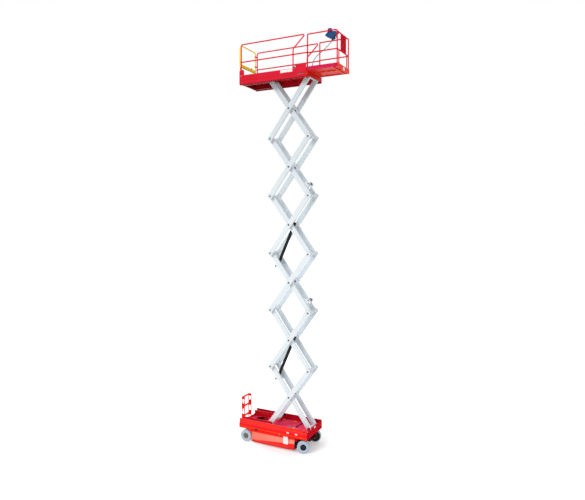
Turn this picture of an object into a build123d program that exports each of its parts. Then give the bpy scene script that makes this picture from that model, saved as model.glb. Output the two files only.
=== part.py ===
"""Slab scissor lift, raised: a tray chassis on four wheels, six pairs of crossed arms, two lift cylinders and
a platform with a sliding extension. Millimetres, +X to the steered front, +Y to the left, floor at z = 0."""

import math
import os

from build123d import *

# Scissor stack: arms are hollow box tubes, pinned at both ends and at the middle.
STAGES = 6
ARM_LENGTH = 2340  # end pin to end pin
ARM_DEPTH = 160
ARM_WIDTH = 65
ARM_WALL = 4
ARM_TIP = 80  # steel past each end pin
ARM_NOSE = 60  # corner radius of each end
RAISED_DEG = 53.75  # arm angle above the floor
FIXED_X = 742  # the front pins keep this x; the rear ends slide
LOWEST_PIN_Z = 697
INNER_Y = 160  # inner faces of the inner arms
OUTER_Y = 255  # inner faces of the outer arms
SHAFT_R = 35  # full-width shafts at the arm ends
SLEEVE_R = 45
CENTRE_R = 30
FIT = 0.3  # radial play of a pin in its bore
DRAIN_R = 7

# Lift cylinders: eye places are along and across an inner arm, measured from its lower pin.
BARREL_EYE = (ARM_LENGTH - 420, 160)
ROD_EYE = (350, -178)
EYE_PIN_R = 24
EYE_R = 46
EYE_HALF = 55
PLATE_Y = (140, 154)
BARREL_R = 52
BARREL_BORE_R = 42
BARREL_END = 1590
ROD_R = 32
ROD_INSIDE = 140  # rod still in the barrel when raised
ROD_EYE_PIN_Y = 120

# Slide rollers and their channels, the same under the platform and in the tray.
ROLLER_R = 38
ROLLER_Y = (328, 366)
CHANNEL_Y = (326, 380)
CHANNEL_HALF = 52
CHANNEL_WALL = 8
CHANNEL_X = (-1655, -560)

# Chassis: a tray on two box rails, with skirts below it between the wheels.
CHASSIS_X = (-1685, 845)
HALF_WIDTH = 580
SKIN = 6
END_PLATE = 12
TRAY_Z = 545
TRAY_FLOOR = 8
TRAY_LOW_Z = TRAY_Z - TRAY_FLOOR
TRAY_HOLE = [(-1460, -60), (-1475, 290), (-1270, 425), (-1045, 290), (-1055, 0), (-1230, -100)]
RIM_Z = 755
RIM_FLANGE = 45
RIM_IN = 8  # the band above the upper fold stands this far in
FOLD_Z = (664, 684)
GROOVES_Z = (477, 605)
GROOVE_DEPTH = 2.5
BAND_LOW_Z = 453
ARCH_R = 250  # edge of the rear wheel arch
ARCH_CORNER = 60  # rounded corner of the front wheel arch
RAIL_X = (-1640, 800)
RAIL_Y = (200, 250)
RAIL_Z = (300, 415)
RAIL_TUBE_WALL = 10
CROSS_X = (-1560, -700, 120)
CROSS_WIDTH = 60
WEIGHT_X = ((-635, 115), (185, 560))  # steel slabs on the belly plate
WEIGHT_Z = (306, 400)
SKIRT_LOW_Z = 60
SKIRT_FACE_Y = 556
SKIRT_LIP_Y = 572
SKIRT_FOLD_Z = (132, 318)
DOOR_X = (-1138, 183)
DOOR_Z = (120, 447)
DOOR_GAP = 6
DOOR_DEPTH = 272
PANEL_FRONT_X = 383
PANEL_REAR_X = -1217
HINGE_R = 7
HINGE_PIN_R = 4
DOOR_KNUCKLES_Z = ((345, 385), (405, 445))
PANEL_KNUCKLE_Z = (387, 403)
GUARD_HINGE = (555, 98)
GUARD_ROD_R = 10
GUARD_LOW_Z = 38
LUG_R = 50
LUG_Y = (232, 248)
TIE_DOWN_Y = 470
TIE_DOWN_Z = 505
TIE_DOWN_R = 18
LADDER_X = (-1830, -1697)
LADDER_Z = (370, 1370)
LADDER_HALF = 220
LADDER_SHEET = 4
TREADS_Z = (400, 700, 1040)

# Wheels and steering.
WHEEL_R = 203
WHEEL_WIDTH = 124
RIM_R = 128
WHEEL_Y = 518
REAR_AXLE_X = -1442
FRONT_AXLE_X = 655
KINGPIN_Y = 430
KINGPIN_R = 22
SPINDLE_R = 25
STEER_DEG = 20  # front wheels stand turned to the left by this
STEER_ARM = 130
AXLE_Z = (415, 537)

# Platform.
PLATFORM_X = (-1680, 837)
PLATFORM_HALF = 543
SIDE_SHEET = 5
DECK_X = (-1645, 786)
DECK_HALF = 497
DECK_Z = 12147
DECK_THICK = 4
FRAME_LOW_Z = 11955
PLATFORM_LUG_Y = (328, 344)
END_SHEET_LOW_Z = 11990
MEMBER_X = (-1674, -1150, -650, -150, 350, 791)
MEMBER_WIDTH = 40
TOE_SHEET = 4
TOE_TOP_Z = 12270
TOE_CORNER = (-1500, 12420)  # the rear corners of the side toe-boards stand higher
GUIDE_X = (413, 790)
GUIDE_TOP_Z = 12390
RAIL_R = 20
RAIL_WALL = 3
TOP_RAIL_Z = 13283
MID_RAIL_Z = 12705
RAIL_LINE_Y = PLATFORM_HALF - RAIL_R - 4.5
REAR_POST_X = -1620
FRONT_POST_X = 316
BRACE_TOP_X = 745
BRACE_LOW_Z = 12880
MID_RAIL_END_X = 785
GATE_X = -1668
GATE_Y = 473
GATE_BAR_Z = (12575, 12650)
GATE_BAR_HALF = 15
HINGE_COLLARS_Z = (12780, 13120)
COLLAR_HEIGHT = 40

# Extension deck, drawn fully out.
EXT_X = (790, 1828)
EXT_SLIDE_REAR_X = 430
EXT_HALF = 493
EXT_DECK_Z = (12156, 12190)
EXT_RIB_X = (790, 1620, 1784)
EXT_RAIL_Y = 468
EXT_TOE_TOP_Z = 12275
EXT_FRONT_LOW_Z = 12125
EXT_POST_X = (800, 1803)
EXT_FRONT_RAIL_Z = TOP_RAIL_Z - 45
LOWER_POSTS_Y = (-332, 325)
LOWER_POST_R = 17
BOX_Y = (-446, -290)
HOOK_Y = (-486, -400)
GLAND_R = 17
GLAND_LENGTH = 34

# Control lead: the line that its jacket follows, from the gland down to the extension deck.
CABLE_R = 11
CABLE_ROUTE = [
    (1586, -360, 13022),
    (1556, -361, 12964),
    (1494, -370, 12892),
    (1395, -392, 12800),
    (1275, -410, 12705),
    (1150, -424, 12615),
    (1050, -434, 12530),
    (985, -440, 12430),
    (960, -444, 12310),
    (960, -444, 12190),
]

RAISED = math.radians(RAISED_DEG)
REACH = ARM_LENGTH * math.cos(RAISED)
RISE = ARM_LENGTH * math.sin(RAISED)
TOP_PIN_Z = LOWEST_PIN_Z + STAGES * RISE


def block(x, y, z):
    """Box between the low and high value of each axis."""
    size = [abs(high - low) for low, high in (x, y, z)]
    centre = [(low + high) / 2 for low, high in (x, y, z)]
    return Pos(*centre) * Box(*size)


def rod_y(x, z, radius, y):
    """Cylinder along Y between the two values of y."""
    return Pos(x, sum(y) / 2, z) * Rot(90, 0, 0) * Cylinder(radius, abs(y[1] - y[0]))


def rod_z(x, y, radius, z):
    """Cylinder along Z between the two values of z."""
    return Pos(x, y, sum(z) / 2) * Cylinder(radius, abs(z[1] - z[0]))


def rod_x(y, z, radius, x):
    """Cylinder along X between the two values of x."""
    return Pos(sum(x) / 2, y, z) * Rot(0, 90, 0) * Cylinder(radius, abs(x[1] - x[0]))


def plate(outline, y):
    """Sketch drawn as (x, z), given the thickness between the two values of y."""
    low, high = sorted(y)
    return Pos(0, high, 0) * Rot(90, 0, 0) * extrude(outline, high - low)


def along_x(outline, x):
    """Sketch drawn as (y, z), run between the two values of x."""
    return extrude(Plane.YZ.offset(x[0]) * outline, x[1] - x[0])


def right_of(shape):
    """The same shape on the other side of the centre plane."""
    return mirror(shape, Plane.XZ)


def both(shape):
    """A shape and its mirror image."""
    return shape + right_of(shape)


def tilted(shape, pin, angle):
    """Moves a shape drawn along +X from the origin to pin (x, z), tilted up by angle."""
    return Pos(pin[0], 0, pin[1]) * Rot(0, -math.degrees(angle), 0) * shape


def bent_bar(points, radii, radius):
    """Round bar along a line of points with a bend radius at each corner."""
    path = FilletPolyline(*points, radius=radii)
    return sweep(Plane(origin=path @ 0, z_dir=path % 0) * Circle(radius), path=path)


def eye_outline(pin, foot_half, foot_z):
    """Round eye about a pin (x, z) that spreads to a straight foot."""
    feet = Pos(pin[0] - foot_half, foot_z) * Circle(1) + Pos(pin[0] + foot_half, foot_z) * Circle(1)
    return make_hull((Pos(*pin) * Circle(LUG_R) + feet).edges())


def save(name, shape):
    """One STEP file for each sub-part."""
    shape.label = name
    export_step(shape, os.path.join("parts", name + ".step"))


def front_pin(level):
    return (FIXED_X, LOWEST_PIN_Z + level * RISE)


def rear_pin(level):
    return (FIXED_X - REACH, LOWEST_PIN_Z + level * RISE)


# --- Scissor arms -----------------------------------------------------------------------------------------


def arm_tube(y_low):
    """Closed box tube with rounded ends and two drain holes in its lower face."""
    y_high = y_low + ARM_WIDTH
    half = ARM_DEPTH / 2
    outside = block((-ARM_TIP, ARM_LENGTH + ARM_TIP), (y_low, y_high), (-half, half))
    outside = fillet(outside.edges().filter_by(Axis.Y), ARM_NOSE)
    end = ARM_TIP - ARM_NOSE + 14
    hollow = block(
        (-end, ARM_LENGTH + end),
        (y_low + ARM_WALL, y_high - ARM_WALL),
        (-half + ARM_WALL, half - ARM_WALL),
    )
    tube = outside - hollow
    for x in (300, ARM_LENGTH - 300):
        tube -= rod_z(x, (y_low + y_high) / 2, DRAIN_R, (-half - 1, -half + ARM_WALL + 1))
    return tube


def eye_plate(eye, spread):
    """Gusset from the inner face of an inner arm out to a cylinder eye."""
    x, z = eye
    side = math.copysign(1, z)
    ring = Pos(x, z) * Circle(EYE_R)
    foot = Pos(x - spread[0], side * 40) * Circle(12) + Pos(x + spread[1], side * 40) * Circle(12)
    outline = make_hull((ring + foot).edges())
    pad = block((x - spread[0], x + spread[1]), (PLATE_Y[1], INNER_Y), (-40, 40))
    web = block((x - spread[0], x + spread[1]), PLATE_Y, (-40, 40))
    return plate(outline, PLATE_Y) + pad + web


def inner_arm(level):
    """Inner pair: two tubes tied by a sleeve at each end, with cylinder brackets where the level has them."""
    width = INNER_Y + ARM_WIDTH
    arm = both(arm_tube(INNER_Y))
    for x in (0, ARM_LENGTH):
        arm += rod_y(x, 0, SLEEVE_R, (-width, width))
    arm += both(rod_y(ARM_LENGTH / 2, 0, CENTRE_R + 12, (INNER_Y, width)))
    top = level == STAGES
    for x in (0,) if top else (0, ARM_LENGTH):
        arm -= rod_y(x, 0, SHAFT_R + FIT, (-width - 1, width + 1))
    arm -= rod_y(ARM_LENGTH / 2, 0, CENTRE_R + FIT, (-width - 1, width + 1))
    if level in (1, 3):
        arm += both(eye_plate(BARREL_EYE, (150, 90)))
        arm += rod_y(*BARREL_EYE, EYE_PIN_R, (-PLATE_Y[1], PLATE_Y[1]))
    if level in (3, 5):
        arm += both(eye_plate(ROD_EYE, (90, 150)))
        arm += both(rod_y(*ROD_EYE, EYE_PIN_R, (PLATE_Y[0] - 12, PLATE_Y[1])))
    if top:
        arm += rod_y(ARM_LENGTH, 0, SHAFT_R, (-ROLLER_Y[1], ROLLER_Y[1]))
    return tilted(arm, front_pin(level - 1), math.pi - RAISED)


def outer_arm(level):
    """Outer pair: two tubes on full-width shafts, with a short centre pin into each inner tube."""
    width = OUTER_Y + ARM_WIDTH
    low_end = ROLLER_Y[1] if level == 1 else width + 5
    high_end = 348 if level == STAGES else width + 5
    arm = both(arm_tube(OUTER_Y))
    arm += rod_y(0, 0, SHAFT_R, (-low_end, low_end))
    arm += rod_y(ARM_LENGTH, 0, SHAFT_R, (-high_end, high_end))
    arm += both(rod_y(ARM_LENGTH / 2, 0, CENTRE_R, (INNER_Y + 5, width + 5)))
    return tilted(arm, rear_pin(level - 1), RAISED)


def rollers(pin):
    """A pair of nylon slide rollers pressed on the ends of a shaft."""
    roller = rod_y(*pin, ROLLER_R, ROLLER_Y) - rod_y(*pin, SHAFT_R, ROLLER_Y)
    return both(roller)


def channels(pin_z):
    """A pair of C channels, open inwards, that the rollers slide in."""
    outside = block(CHANNEL_X, CHANNEL_Y, (pin_z - CHANNEL_HALF, pin_z + CHANNEL_HALF))
    inside_half = CHANNEL_HALF - CHANNEL_WALL
    inside = block(
        CHANNEL_X,
        (CHANNEL_Y[0] - 1, CHANNEL_Y[1] - CHANNEL_WALL),
        (pin_z - inside_half, pin_z + inside_half),
    )
    return both(outside - inside)


def eye_world(level, eye):
    """Where a cylinder eye of an inner arm stands, as (x, z)."""
    pin = front_pin(level - 1)
    angle = math.pi - RAISED
    return (
        pin[0] + eye[0] * math.cos(angle) - eye[1] * math.sin(angle),
        pin[1] + eye[0] * math.sin(angle) + eye[1] * math.cos(angle),
    )


def cylinder(level):
    """Barrel and rod of the cylinder that pushes from the arm at level to the arm two levels up."""
    foot = eye_world(level, BARREL_EYE)
    head = eye_world(level + 2, ROD_EYE)
    span = math.dist(foot, head)
    angle = math.atan2(head[1] - foot[1], head[0] - foot[0])
    eye = (-EYE_HALF, EYE_HALF)
    barrel = rod_y(0, 0, EYE_R, eye) + rod_x(0, 0, BARREL_R, (30, BARREL_END))
    barrel += rod_x(0, 0, BARREL_R + 6, (BARREL_END - 60, BARREL_END))
    barrel -= rod_x(0, 0, BARREL_BORE_R, (95, BARREL_END - 60))
    barrel -= rod_x(0, 0, ROD_R + FIT, (90, BARREL_END + 1))
    barrel -= rod_y(0, 0, EYE_PIN_R + FIT, (-EYE_HALF - 1, EYE_HALF + 1))
    rod = rod_x(0, 0, ROD_R, (BARREL_END - ROD_INSIDE, span - 20))
    rod += rod_y(span, 0, EYE_R, eye) + rod_y(span, 0, EYE_PIN_R, (-ROD_EYE_PIN_Y, ROD_EYE_PIN_Y))
    return tilted(barrel, foot, angle), tilted(rod, foot, angle)


# --- Chassis ----------------------------------------------------------------------------------------------


def side_panel():
    """Folded skin of the left side: top flange, fold, grooved band and the corners of the wheel arches."""
    y = HALF_WIDTH
    top = y - RIM_IN
    outer = [(y - RIM_FLANGE, RIM_Z), (top, RIM_Z), (top, FOLD_Z[1]), (y, FOLD_Z[0])]
    for z in reversed(GROOVES_Z):
        outer += [(y, z + 5), (y - GROOVE_DEPTH, z), (y, z - 5)]
    outer += [(y, BAND_LOW_Z)]
    inner = [(y - SKIN, BAND_LOW_Z), (y - SKIN, FOLD_Z[0] - 2), (top - SKIN, FOLD_Z[1] - 2)]
    inner += [(top - SKIN, RIM_Z - SKIN), (y - RIM_FLANGE, RIM_Z - SKIN)]
    panel = along_x(make_face(Polyline(*outer, *inner, close=True)), (CHASSIS_X[0], CHASSIS_X[1] - END_PLATE))
    depth = BAND_LOW_Z - WHEEL_R
    rear = Pos(REAR_AXLE_X, WHEEL_R) * Rectangle(
        PANEL_REAR_X - REAR_AXLE_X, depth, align=(Align.MIN, Align.MIN)
    )
    rear -= Pos(REAR_AXLE_X, WHEEL_R) * Circle(ARCH_R)
    corner = (PANEL_FRONT_X + ARCH_CORNER, BAND_LOW_Z - ARCH_CORNER)
    front = Pos(*corner) * Rectangle(ARCH_CORNER, ARCH_CORNER, align=(Align.MAX, Align.MIN))
    front -= Pos(*corner) * Circle(ARCH_CORNER)
    return panel + plate(rear, (y - SKIN, y)) + plate(front, (y - SKIN, y))


def skirt(x, z):
    """Skirt skin of the left side between two values of x: a flat face folded out to a lip at its foot."""
    outer = [(SKIRT_FACE_Y, z[1]), (SKIRT_FACE_Y, SKIRT_FOLD_Z[1])]
    outer += [(SKIRT_LIP_Y, SKIRT_FOLD_Z[0]), (SKIRT_LIP_Y, z[0])]
    inner = [(y - SKIN, height) for y, height in reversed(outer)]
    return along_x(make_face(Polyline(*outer, *inner, close=True)), x)


def bulkhead(x):
    """Cross plate from a rail out to the skirt and up to the tray floor."""
    face, lip = SKIRT_FACE_Y - SKIN, SKIRT_LIP_Y - SKIN
    outline = [(RAIL_Y[1], SKIRT_LOW_Z), (lip, SKIRT_LOW_Z), (lip, SKIRT_FOLD_Z[0]), (face, SKIRT_FOLD_Z[1])]
    outline += [(face, BAND_LOW_Z), (HALF_WIDTH - SKIN, BAND_LOW_Z), (HALF_WIDTH - SKIN, TRAY_LOW_Z)]
    outline += [(RAIL_Y[1], TRAY_LOW_Z)]
    sheet = along_x(make_face(Polyline(*outline, close=True)), (x, x + SKIN))
    return sheet - rod_x(*GUARD_HINGE, GUARD_ROD_R + FIT, (x - 1, x + SKIN + 1))


def door_leaf(x, z):
    """Hinge leaf and barrel of a tray door hinge on its pin line, the leaf between two values of x."""
    pin = (DOOR_X[1], SKIRT_LIP_Y)
    return rod_z(*pin, HINGE_R, z) + block(x, (SKIRT_FACE_Y, SKIRT_LIP_Y - 2), z)


def chassis_frame():
    """Two box rails and a belly plate, bulkheads out to the fixed skirts, hinge pins and cross tubes."""
    wall = RAIL_TUBE_WALL
    half = block(RAIL_X, RAIL_Y, RAIL_Z)
    half -= block(RAIL_X, (RAIL_Y[0] + wall, RAIL_Y[1] - wall), (RAIL_Z[0] + wall, RAIL_Z[1] - wall))
    rear_skirt = (PANEL_REAR_X, DOOR_X[0] - DOOR_GAP + 1)
    front_skirt = (DOOR_X[1] + DOOR_GAP, PANEL_FRONT_X)
    for x in (rear_skirt, front_skirt):
        half += bulkhead(x[0]) + bulkhead(x[1] - SKIN)
        half += skirt(x, (SKIRT_LOW_Z, BAND_LOW_Z))
    half += door_leaf((DOOR_X[1] + 3, DOOR_X[1] + 32), PANEL_KNUCKLE_Z)
    half += rod_z(DOOR_X[1], SKIRT_LIP_Y, HINGE_PIN_R, (DOOR_KNUCKLES_Z[0][0], DOOR_KNUCKLES_Z[1][1]))
    for x in CROSS_X:
        half += block((x, x + CROSS_WIDTH), RAIL_Y, (RAIL_Z[1], TRAY_LOW_Z))
    frame = both(half)
    for x in CROSS_X:
        tube = block((x, x + CROSS_WIDTH), (-RAIL_Y[0], RAIL_Y[0]), (330, 390))
        frame += tube - block((x + 5, x + CROSS_WIDTH - 5), (-RAIL_Y[0], RAIL_Y[0]), (335, 385))
    return frame + block(RAIL_X, (-RAIL_Y[0], RAIL_Y[0]), (RAIL_Z[0], RAIL_Z[0] + SKIN))


def counterweight():
    """Steel slabs between the rails, on the belly plate."""
    slabs = [block(x, (-RAIL_Y[0] + 2, RAIL_Y[0] - 2), WEIGHT_Z) for x in WEIGHT_X]
    return slabs[0] + slabs[1]


def chassis_tray():
    """Tray floor with a cut-out over the pump."""
    x = (CHASSIS_X[0], CHASSIS_X[1] - END_PLATE)
    floor = block(x, (-HALF_WIDTH + SKIN, HALF_WIDTH - SKIN), (TRAY_LOW_Z, TRAY_Z))
    hole = make_face(Polyline(*TRAY_HOLE, close=True))
    hole = fillet(hole.vertices(), 40)
    return floor - extrude(Pos(0, 0, TRAY_LOW_Z - 1) * hole, TRAY_FLOOR + 2)


def end_plates():
    """Front plate to the rim and the low rear plate that the ladder bolts to."""
    width = (-HALF_WIDTH, HALF_WIDTH)
    front_x = (CHASSIS_X[1] - END_PLATE, CHASSIS_X[1])
    rear_x = (CHASSIS_X[0] - END_PLATE, CHASSIS_X[0])
    front = block(front_x, width, (470, RIM_Z))
    front = fillet(front.edges().filter_by(Axis.X), 12)
    rear = block(rear_x, width, (BAND_LOW_Z, 600))
    rear = fillet(rear.edges().filter_by(Axis.X), 12)
    for y in (-TIE_DOWN_Y, TIE_DOWN_Y):
        front -= rod_x(y, TIE_DOWN_Z, TIE_DOWN_R, front_x)
        rear -= rod_x(y, TIE_DOWN_Z, TIE_DOWN_R, rear_x)
    return front, rear


def pivot_lugs():
    """Lugs on the tray floor with the pin that the lowest inner arms turn on."""
    pin = front_pin(0)
    lugs = both(plate(eye_outline(pin, 60, TRAY_Z + 1), LUG_Y))
    return lugs + rod_y(*pin, SHAFT_R, (-LUG_Y[1] - 4, LUG_Y[1] + 4))


def channel_stands():
    """Lower roller channels on plates welded to the tray floor."""
    stands = channels(LOWEST_PIN_Z)
    wall = (CHANNEL_Y[1] - CHANNEL_WALL, CHANNEL_Y[1])
    return stands + both(block(CHANNEL_X, wall, (TRAY_Z, LOWEST_PIN_Z - CHANNEL_HALF)))


def rear_axle():
    """Beam under the rails with a stub spindle for each wheel."""
    x = REAR_AXLE_X
    beam = block((x - 50, x + 50), (-440, 440), (153, 253))
    beam -= block((x - 44, x + 44), (-440, 440), (159, 247))
    beam += both(block((x - 50, x + 50), (434, 440), (153, 253)))
    beam += both(block((x - 40, x + 40), RAIL_Y, (253, RAIL_Z[0])))
    return beam + both(rod_y(x, WHEEL_R, SPINDLE_R, (440, WHEEL_Y + 20)))


def front_axle():
    """Beam over the rails with a bore for each kingpin."""
    x = FRONT_AXLE_X
    beam = block((x - 55, x + 55), (-470, 470), AXLE_Z)
    for y in (-KINGPIN_Y, KINGPIN_Y):
        beam -= rod_z(x, y, KINGPIN_R + FIT, (AXLE_Z[0] - 1, AXLE_Z[1] - 20))
    beam -= block((x - 45, x + 45), (-380, 380), (AXLE_Z[0] + 8, AXLE_Z[1] - 8))
    return beam - block((x - 20, x + 20), (-100, 100), (AXLE_Z[0] - 1, AXLE_Z[0] + 9))


def steered(shape, side):
    """Puts a shape drawn about a straight left kingpin at the origin where the steered one of its side is."""
    if side < 0:
        shape = right_of(shape)
    return Pos(FRONT_AXLE_X, side * KINGPIN_Y, 0) * Rot(0, 0, STEER_DEG) * shape


def knuckle():
    """Left knuckle at the origin: kingpin, drop body, spindle and steering arm."""
    body = block((-48, 48), (-36, 14), (150, AXLE_Z[0] - 5))
    body = fillet(body.edges().filter_by(Axis.Y), 16)
    body += rod_z(0, 0, KINGPIN_R, (AXLE_Z[0] - 5, AXLE_Z[1] - 24))
    body += rod_y(0, WHEEL_R, SPINDLE_R, (14, WHEEL_Y - KINGPIN_Y + 20))
    body += block((-STEER_ARM, -40), (-14, 10), (250, 270))
    body += rod_z(-STEER_ARM, 0, 20, (250, 270))
    return body + rod_z(-STEER_ARM, 0, 10, (222, 250))


def tie_rod():
    """Rod between the pins of both steering arms."""
    turn = math.radians(STEER_DEG)
    x = FRONT_AXLE_X - STEER_ARM * math.cos(turn)
    shift = -STEER_ARM * math.sin(turn)
    rod = rod_y(x, 235, 13, (shift - KINGPIN_Y + 12, shift + KINGPIN_Y - 12))
    for y in (shift - KINGPIN_Y, shift + KINGPIN_Y):
        rod += rod_z(x, y, 20, (223, 247))
        rod -= rod_z(x, y, 10 + FIT, (222, 248))
    return rod


def tyre():
    """Solid tyre with its axle along Y and its middle at the origin."""
    half = WHEEL_WIDTH / 2
    profile = Rectangle(WHEEL_R - RIM_R, WHEEL_WIDTH)
    profile = fillet(profile.vertices().group_by(Axis.X)[-1], 16)
    ring = Pos((WHEEL_R + RIM_R) / 2, 0) * profile
    return revolve(Pos(0, 0, 0) * ring, Axis.Y)


def hub():
    """Dished disc pressed in the tyre, bored for the spindle, its outer face towards +Y."""
    disc = rod_y(0, 0, RIM_R, (-52, 50)) - rod_y(0, 0, 108, (24, 51)) + rod_y(0, 0, 58, (20, 44))
    disc = disc - rod_y(0, 0, 100, (-53, -10)) + rod_y(0, 0, 50, (-50, 0))
    return disc - rod_y(0, 0, SPINDLE_R + FIT, (-53, 22))


def tray_door():
    """Left swing-out tray: folded outer skin with its hinge barrels, and a tray box open on top behind it."""
    x0, x1 = DOOR_X
    z0 = DOOR_Z[0]
    door = skirt(DOOR_X, DOOR_Z)
    for z in DOOR_KNUCKLES_Z:
        door += door_leaf((x1 - 32, x1 - 3), z)
        door -= rod_z(x1, SKIRT_LIP_Y, HINGE_PIN_R + FIT, z)
    deep = HALF_WIDTH - DOOR_DEPTH
    back = [(SKIRT_LIP_Y - SKIN, SKIRT_FOLD_Z[0]), (SKIRT_FACE_Y - SKIN, SKIRT_FOLD_Z[1])]
    outside = [(deep, z0), (back[0][0], z0), *back, (back[1][0], 420), (deep, 420)]
    inside = [(deep + 4, z0 + 5), (back[0][0], z0 + 5), *back, (back[1][0], 421), (deep + 4, 421)]
    box = along_x(make_face(Polyline(*outside, close=True)), (x0 + 58, x1 - 8))
    box -= along_x(make_face(Polyline(*inside, close=True)), (x0 + 62, x1 - 12))
    return door + box


def battery_pack():
    """Battery block in the left tray."""
    y = (HALF_WIDTH - DOOR_DEPTH + 10, SKIRT_FACE_Y - SKIN - 6)
    return block((DOOR_X[0] + 80, DOOR_X[1] - 40), y, (DOOR_Z[0] + 5, 395))


def hydraulic_unit():
    """Hydraulic tank and pump block in the right tray."""
    y = (HALF_WIDTH - DOOR_DEPTH + 14, SKIRT_FACE_Y - SKIN - 10)
    return right_of(block((DOOR_X[0] + 120, DOOR_X[1] - 320), y, (DOOR_Z[0] + 5, 400)))


def pothole_guard():
    """Left guard bar hanging under the tray from a rod between two bulkheads."""
    y, z = GUARD_HINGE
    bar = block((DOOR_X[0] + 2, DOOR_X[1] - 2), (y - 3, y + 3), (GUARD_LOW_Z, z))
    return bar + rod_x(y, z, GUARD_ROD_R, (DOOR_X[0] - 9, DOOR_X[1] + 10))


def entry_ladder():
    """Ladder behind the chassis: side plates with tapered cut-outs, lipped treads and a deep top."""
    x0, x1 = LADDER_X
    half = LADDER_HALF
    middle = (x0 + x1) / 2
    side = Pos(middle, sum(LADDER_Z) / 2) * Rectangle(x1 - x0, LADDER_Z[1] - LADDER_Z[0])
    side = fillet(side.vertices(), 25)
    # middle height, half height, and half width at the foot and at the top of each cut-out
    for z, rise, foot, top in ((545, 70, 40, 24), (870, 90, 40, 18), (1210, 70, 18, 40)):
        corners = [(middle - foot, z - rise), (middle + foot, z - rise)]
        corners += [(middle + top, z + rise), (middle - top, z + rise)]
        hole = make_face(Polyline(*corners, close=True))
        side -= fillet(hole.vertices(), 12)
    ladder = both(plate(side, (half - LADDER_SHEET, half)))
    inside = (-half + LADDER_SHEET, half - LADDER_SHEET)
    for z in TREADS_Z:
        ladder += block((x0 + 8, x1 - 8), inside, (z - 4, z))
        ladder += block((x0 + 8, x0 + 12), inside, (z - 34, z - 4))
    top = LADDER_Z[1]
    ladder += block((x0 + 8, x1 - 8), inside, (top - 8, top - 4))
    ladder += block((x0 + 8, x0 + 12), inside, (top - 75, top - 8))
    return ladder + both(block((x1 - 30, x1), (half - 34, half), (555, 595)))


# --- Platform ---------------------------------------------------------------------------------------------


def platform_frame():
    """Side beams, end sheets, cross members, edge flanges, roller channels and the top front pin's lugs."""
    y = PLATFORM_HALF
    wall = SIDE_SHEET
    outline = [(y, DECK_Z), (y, FRAME_LOW_Z + 30), (y - 30, FRAME_LOW_Z), (y - 60, FRAME_LOW_Z)]
    outline += [(y - 60, FRAME_LOW_Z + wall), (y - 32, FRAME_LOW_Z + wall)]
    outline += [(y - wall, FRAME_LOW_Z + 32), (y - wall, DECK_Z)]
    frame = both(along_x(make_face(Polyline(*outline, close=True)), PLATFORM_X))
    member_z = (TOP_PIN_Z + 89, DECK_Z)
    inside = (-y + wall, y - wall)
    for x in MEMBER_X:
        tube = block((x, x + MEMBER_WIDTH), inside, member_z)
        frame += tube - block((x + 4, x + MEMBER_WIDTH - 4), inside, (member_z[0] + 4, member_z[1] - 4))
    edge = block((PLATFORM_X[0], GUIDE_X[1]), (-y, y), (DECK_Z, DECK_Z + DECK_THICK))
    frame += edge - block(DECK_X, (-DECK_HALF, DECK_HALF), (DECK_Z, DECK_Z + DECK_THICK))
    frame += channels(TOP_PIN_Z)
    stand = (CHANNEL_Y[1] - CHANNEL_WALL, CHANNEL_Y[1])
    frame += both(block(CHANNEL_X, stand, (TOP_PIN_Z + CHANNEL_HALF, member_z[0])))
    pin = front_pin(STAGES)
    lug = plate(eye_outline(pin, 70, member_z[0] + 4), PLATFORM_LUG_Y)
    frame += both(lug + block((660, MEMBER_X[-1] + MEMBER_WIDTH), PLATFORM_LUG_Y, (member_z[0] - 2, DECK_Z)))
    frame -= rod_y(*pin, SHAFT_R + FIT, (-400, 400))
    for x in (PLATFORM_X[0], PLATFORM_X[1] - SKIN):
        frame += block((x, x + SKIN), inside, (END_SHEET_LOW_Z, DECK_Z))
    return frame


def platform_deck():
    """Deck plate of the main platform, between the edge flanges."""
    return block(DECK_X, (-DECK_HALF, DECK_HALF), (DECK_Z, DECK_Z + DECK_THICK))


def toe_boards():
    """Side toe-boards with a flange under the posts, raised rear corners and guide plates; rear toe-board."""
    y = PLATFORM_HALF
    z = DECK_Z + DECK_THICK
    x0, x1 = PLATFORM_X[0], GUIDE_X[1]
    corner_x, corner_z = TOE_CORNER
    outline = [(x0, z), (x1, z), (x1, GUIDE_TOP_Z - 15), (x1 - 18, GUIDE_TOP_Z)]
    outline += [(GUIDE_X[0] + 27, GUIDE_TOP_Z), (GUIDE_X[0], GUIDE_TOP_Z - 20), (GUIDE_X[0], TOE_TOP_Z)]
    outline += [(corner_x, TOE_TOP_Z), (corner_x, corner_z - 20), (corner_x - 20, corner_z), (x0, corner_z)]
    side = plate(make_face(Polyline(*outline, close=True)), (y - TOE_SHEET, y))
    flange_y = (RAIL_LINE_Y - RAIL_R, y - TOE_SHEET)
    flange = block((x0 + TOE_SHEET, GUIDE_X[0]), flange_y, (TOE_TOP_Z - TOE_SHEET, TOE_TOP_Z))
    rear = block((x0, x0 + TOE_SHEET), (-y + TOE_SHEET, y - TOE_SHEET), (z, TOE_TOP_Z))
    return both(side + flange) + rear


def guard_bars(radius):
    """Left guard rail: one bent bar for rear post, top rail, brace and front post, and the mid rail."""
    y = RAIL_LINE_Y
    loop = [
        (REAR_POST_X, y, TOE_TOP_Z),
        (REAR_POST_X, y, TOP_RAIL_Z),
        (BRACE_TOP_X, y, TOP_RAIL_Z),
        (FRONT_POST_X, y, BRACE_LOW_Z),
        (FRONT_POST_X, y, TOE_TOP_Z),
    ]
    return bent_bar(loop, [70, 30, 90], radius) + rod_x(y, MID_RAIL_Z, radius, (REAR_POST_X, MID_RAIL_END_X))


def guard_rail():
    """Left guard rail, of round tube."""
    return guard_bars(RAIL_R) - guard_bars(RAIL_R - RAIL_WALL)


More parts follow.
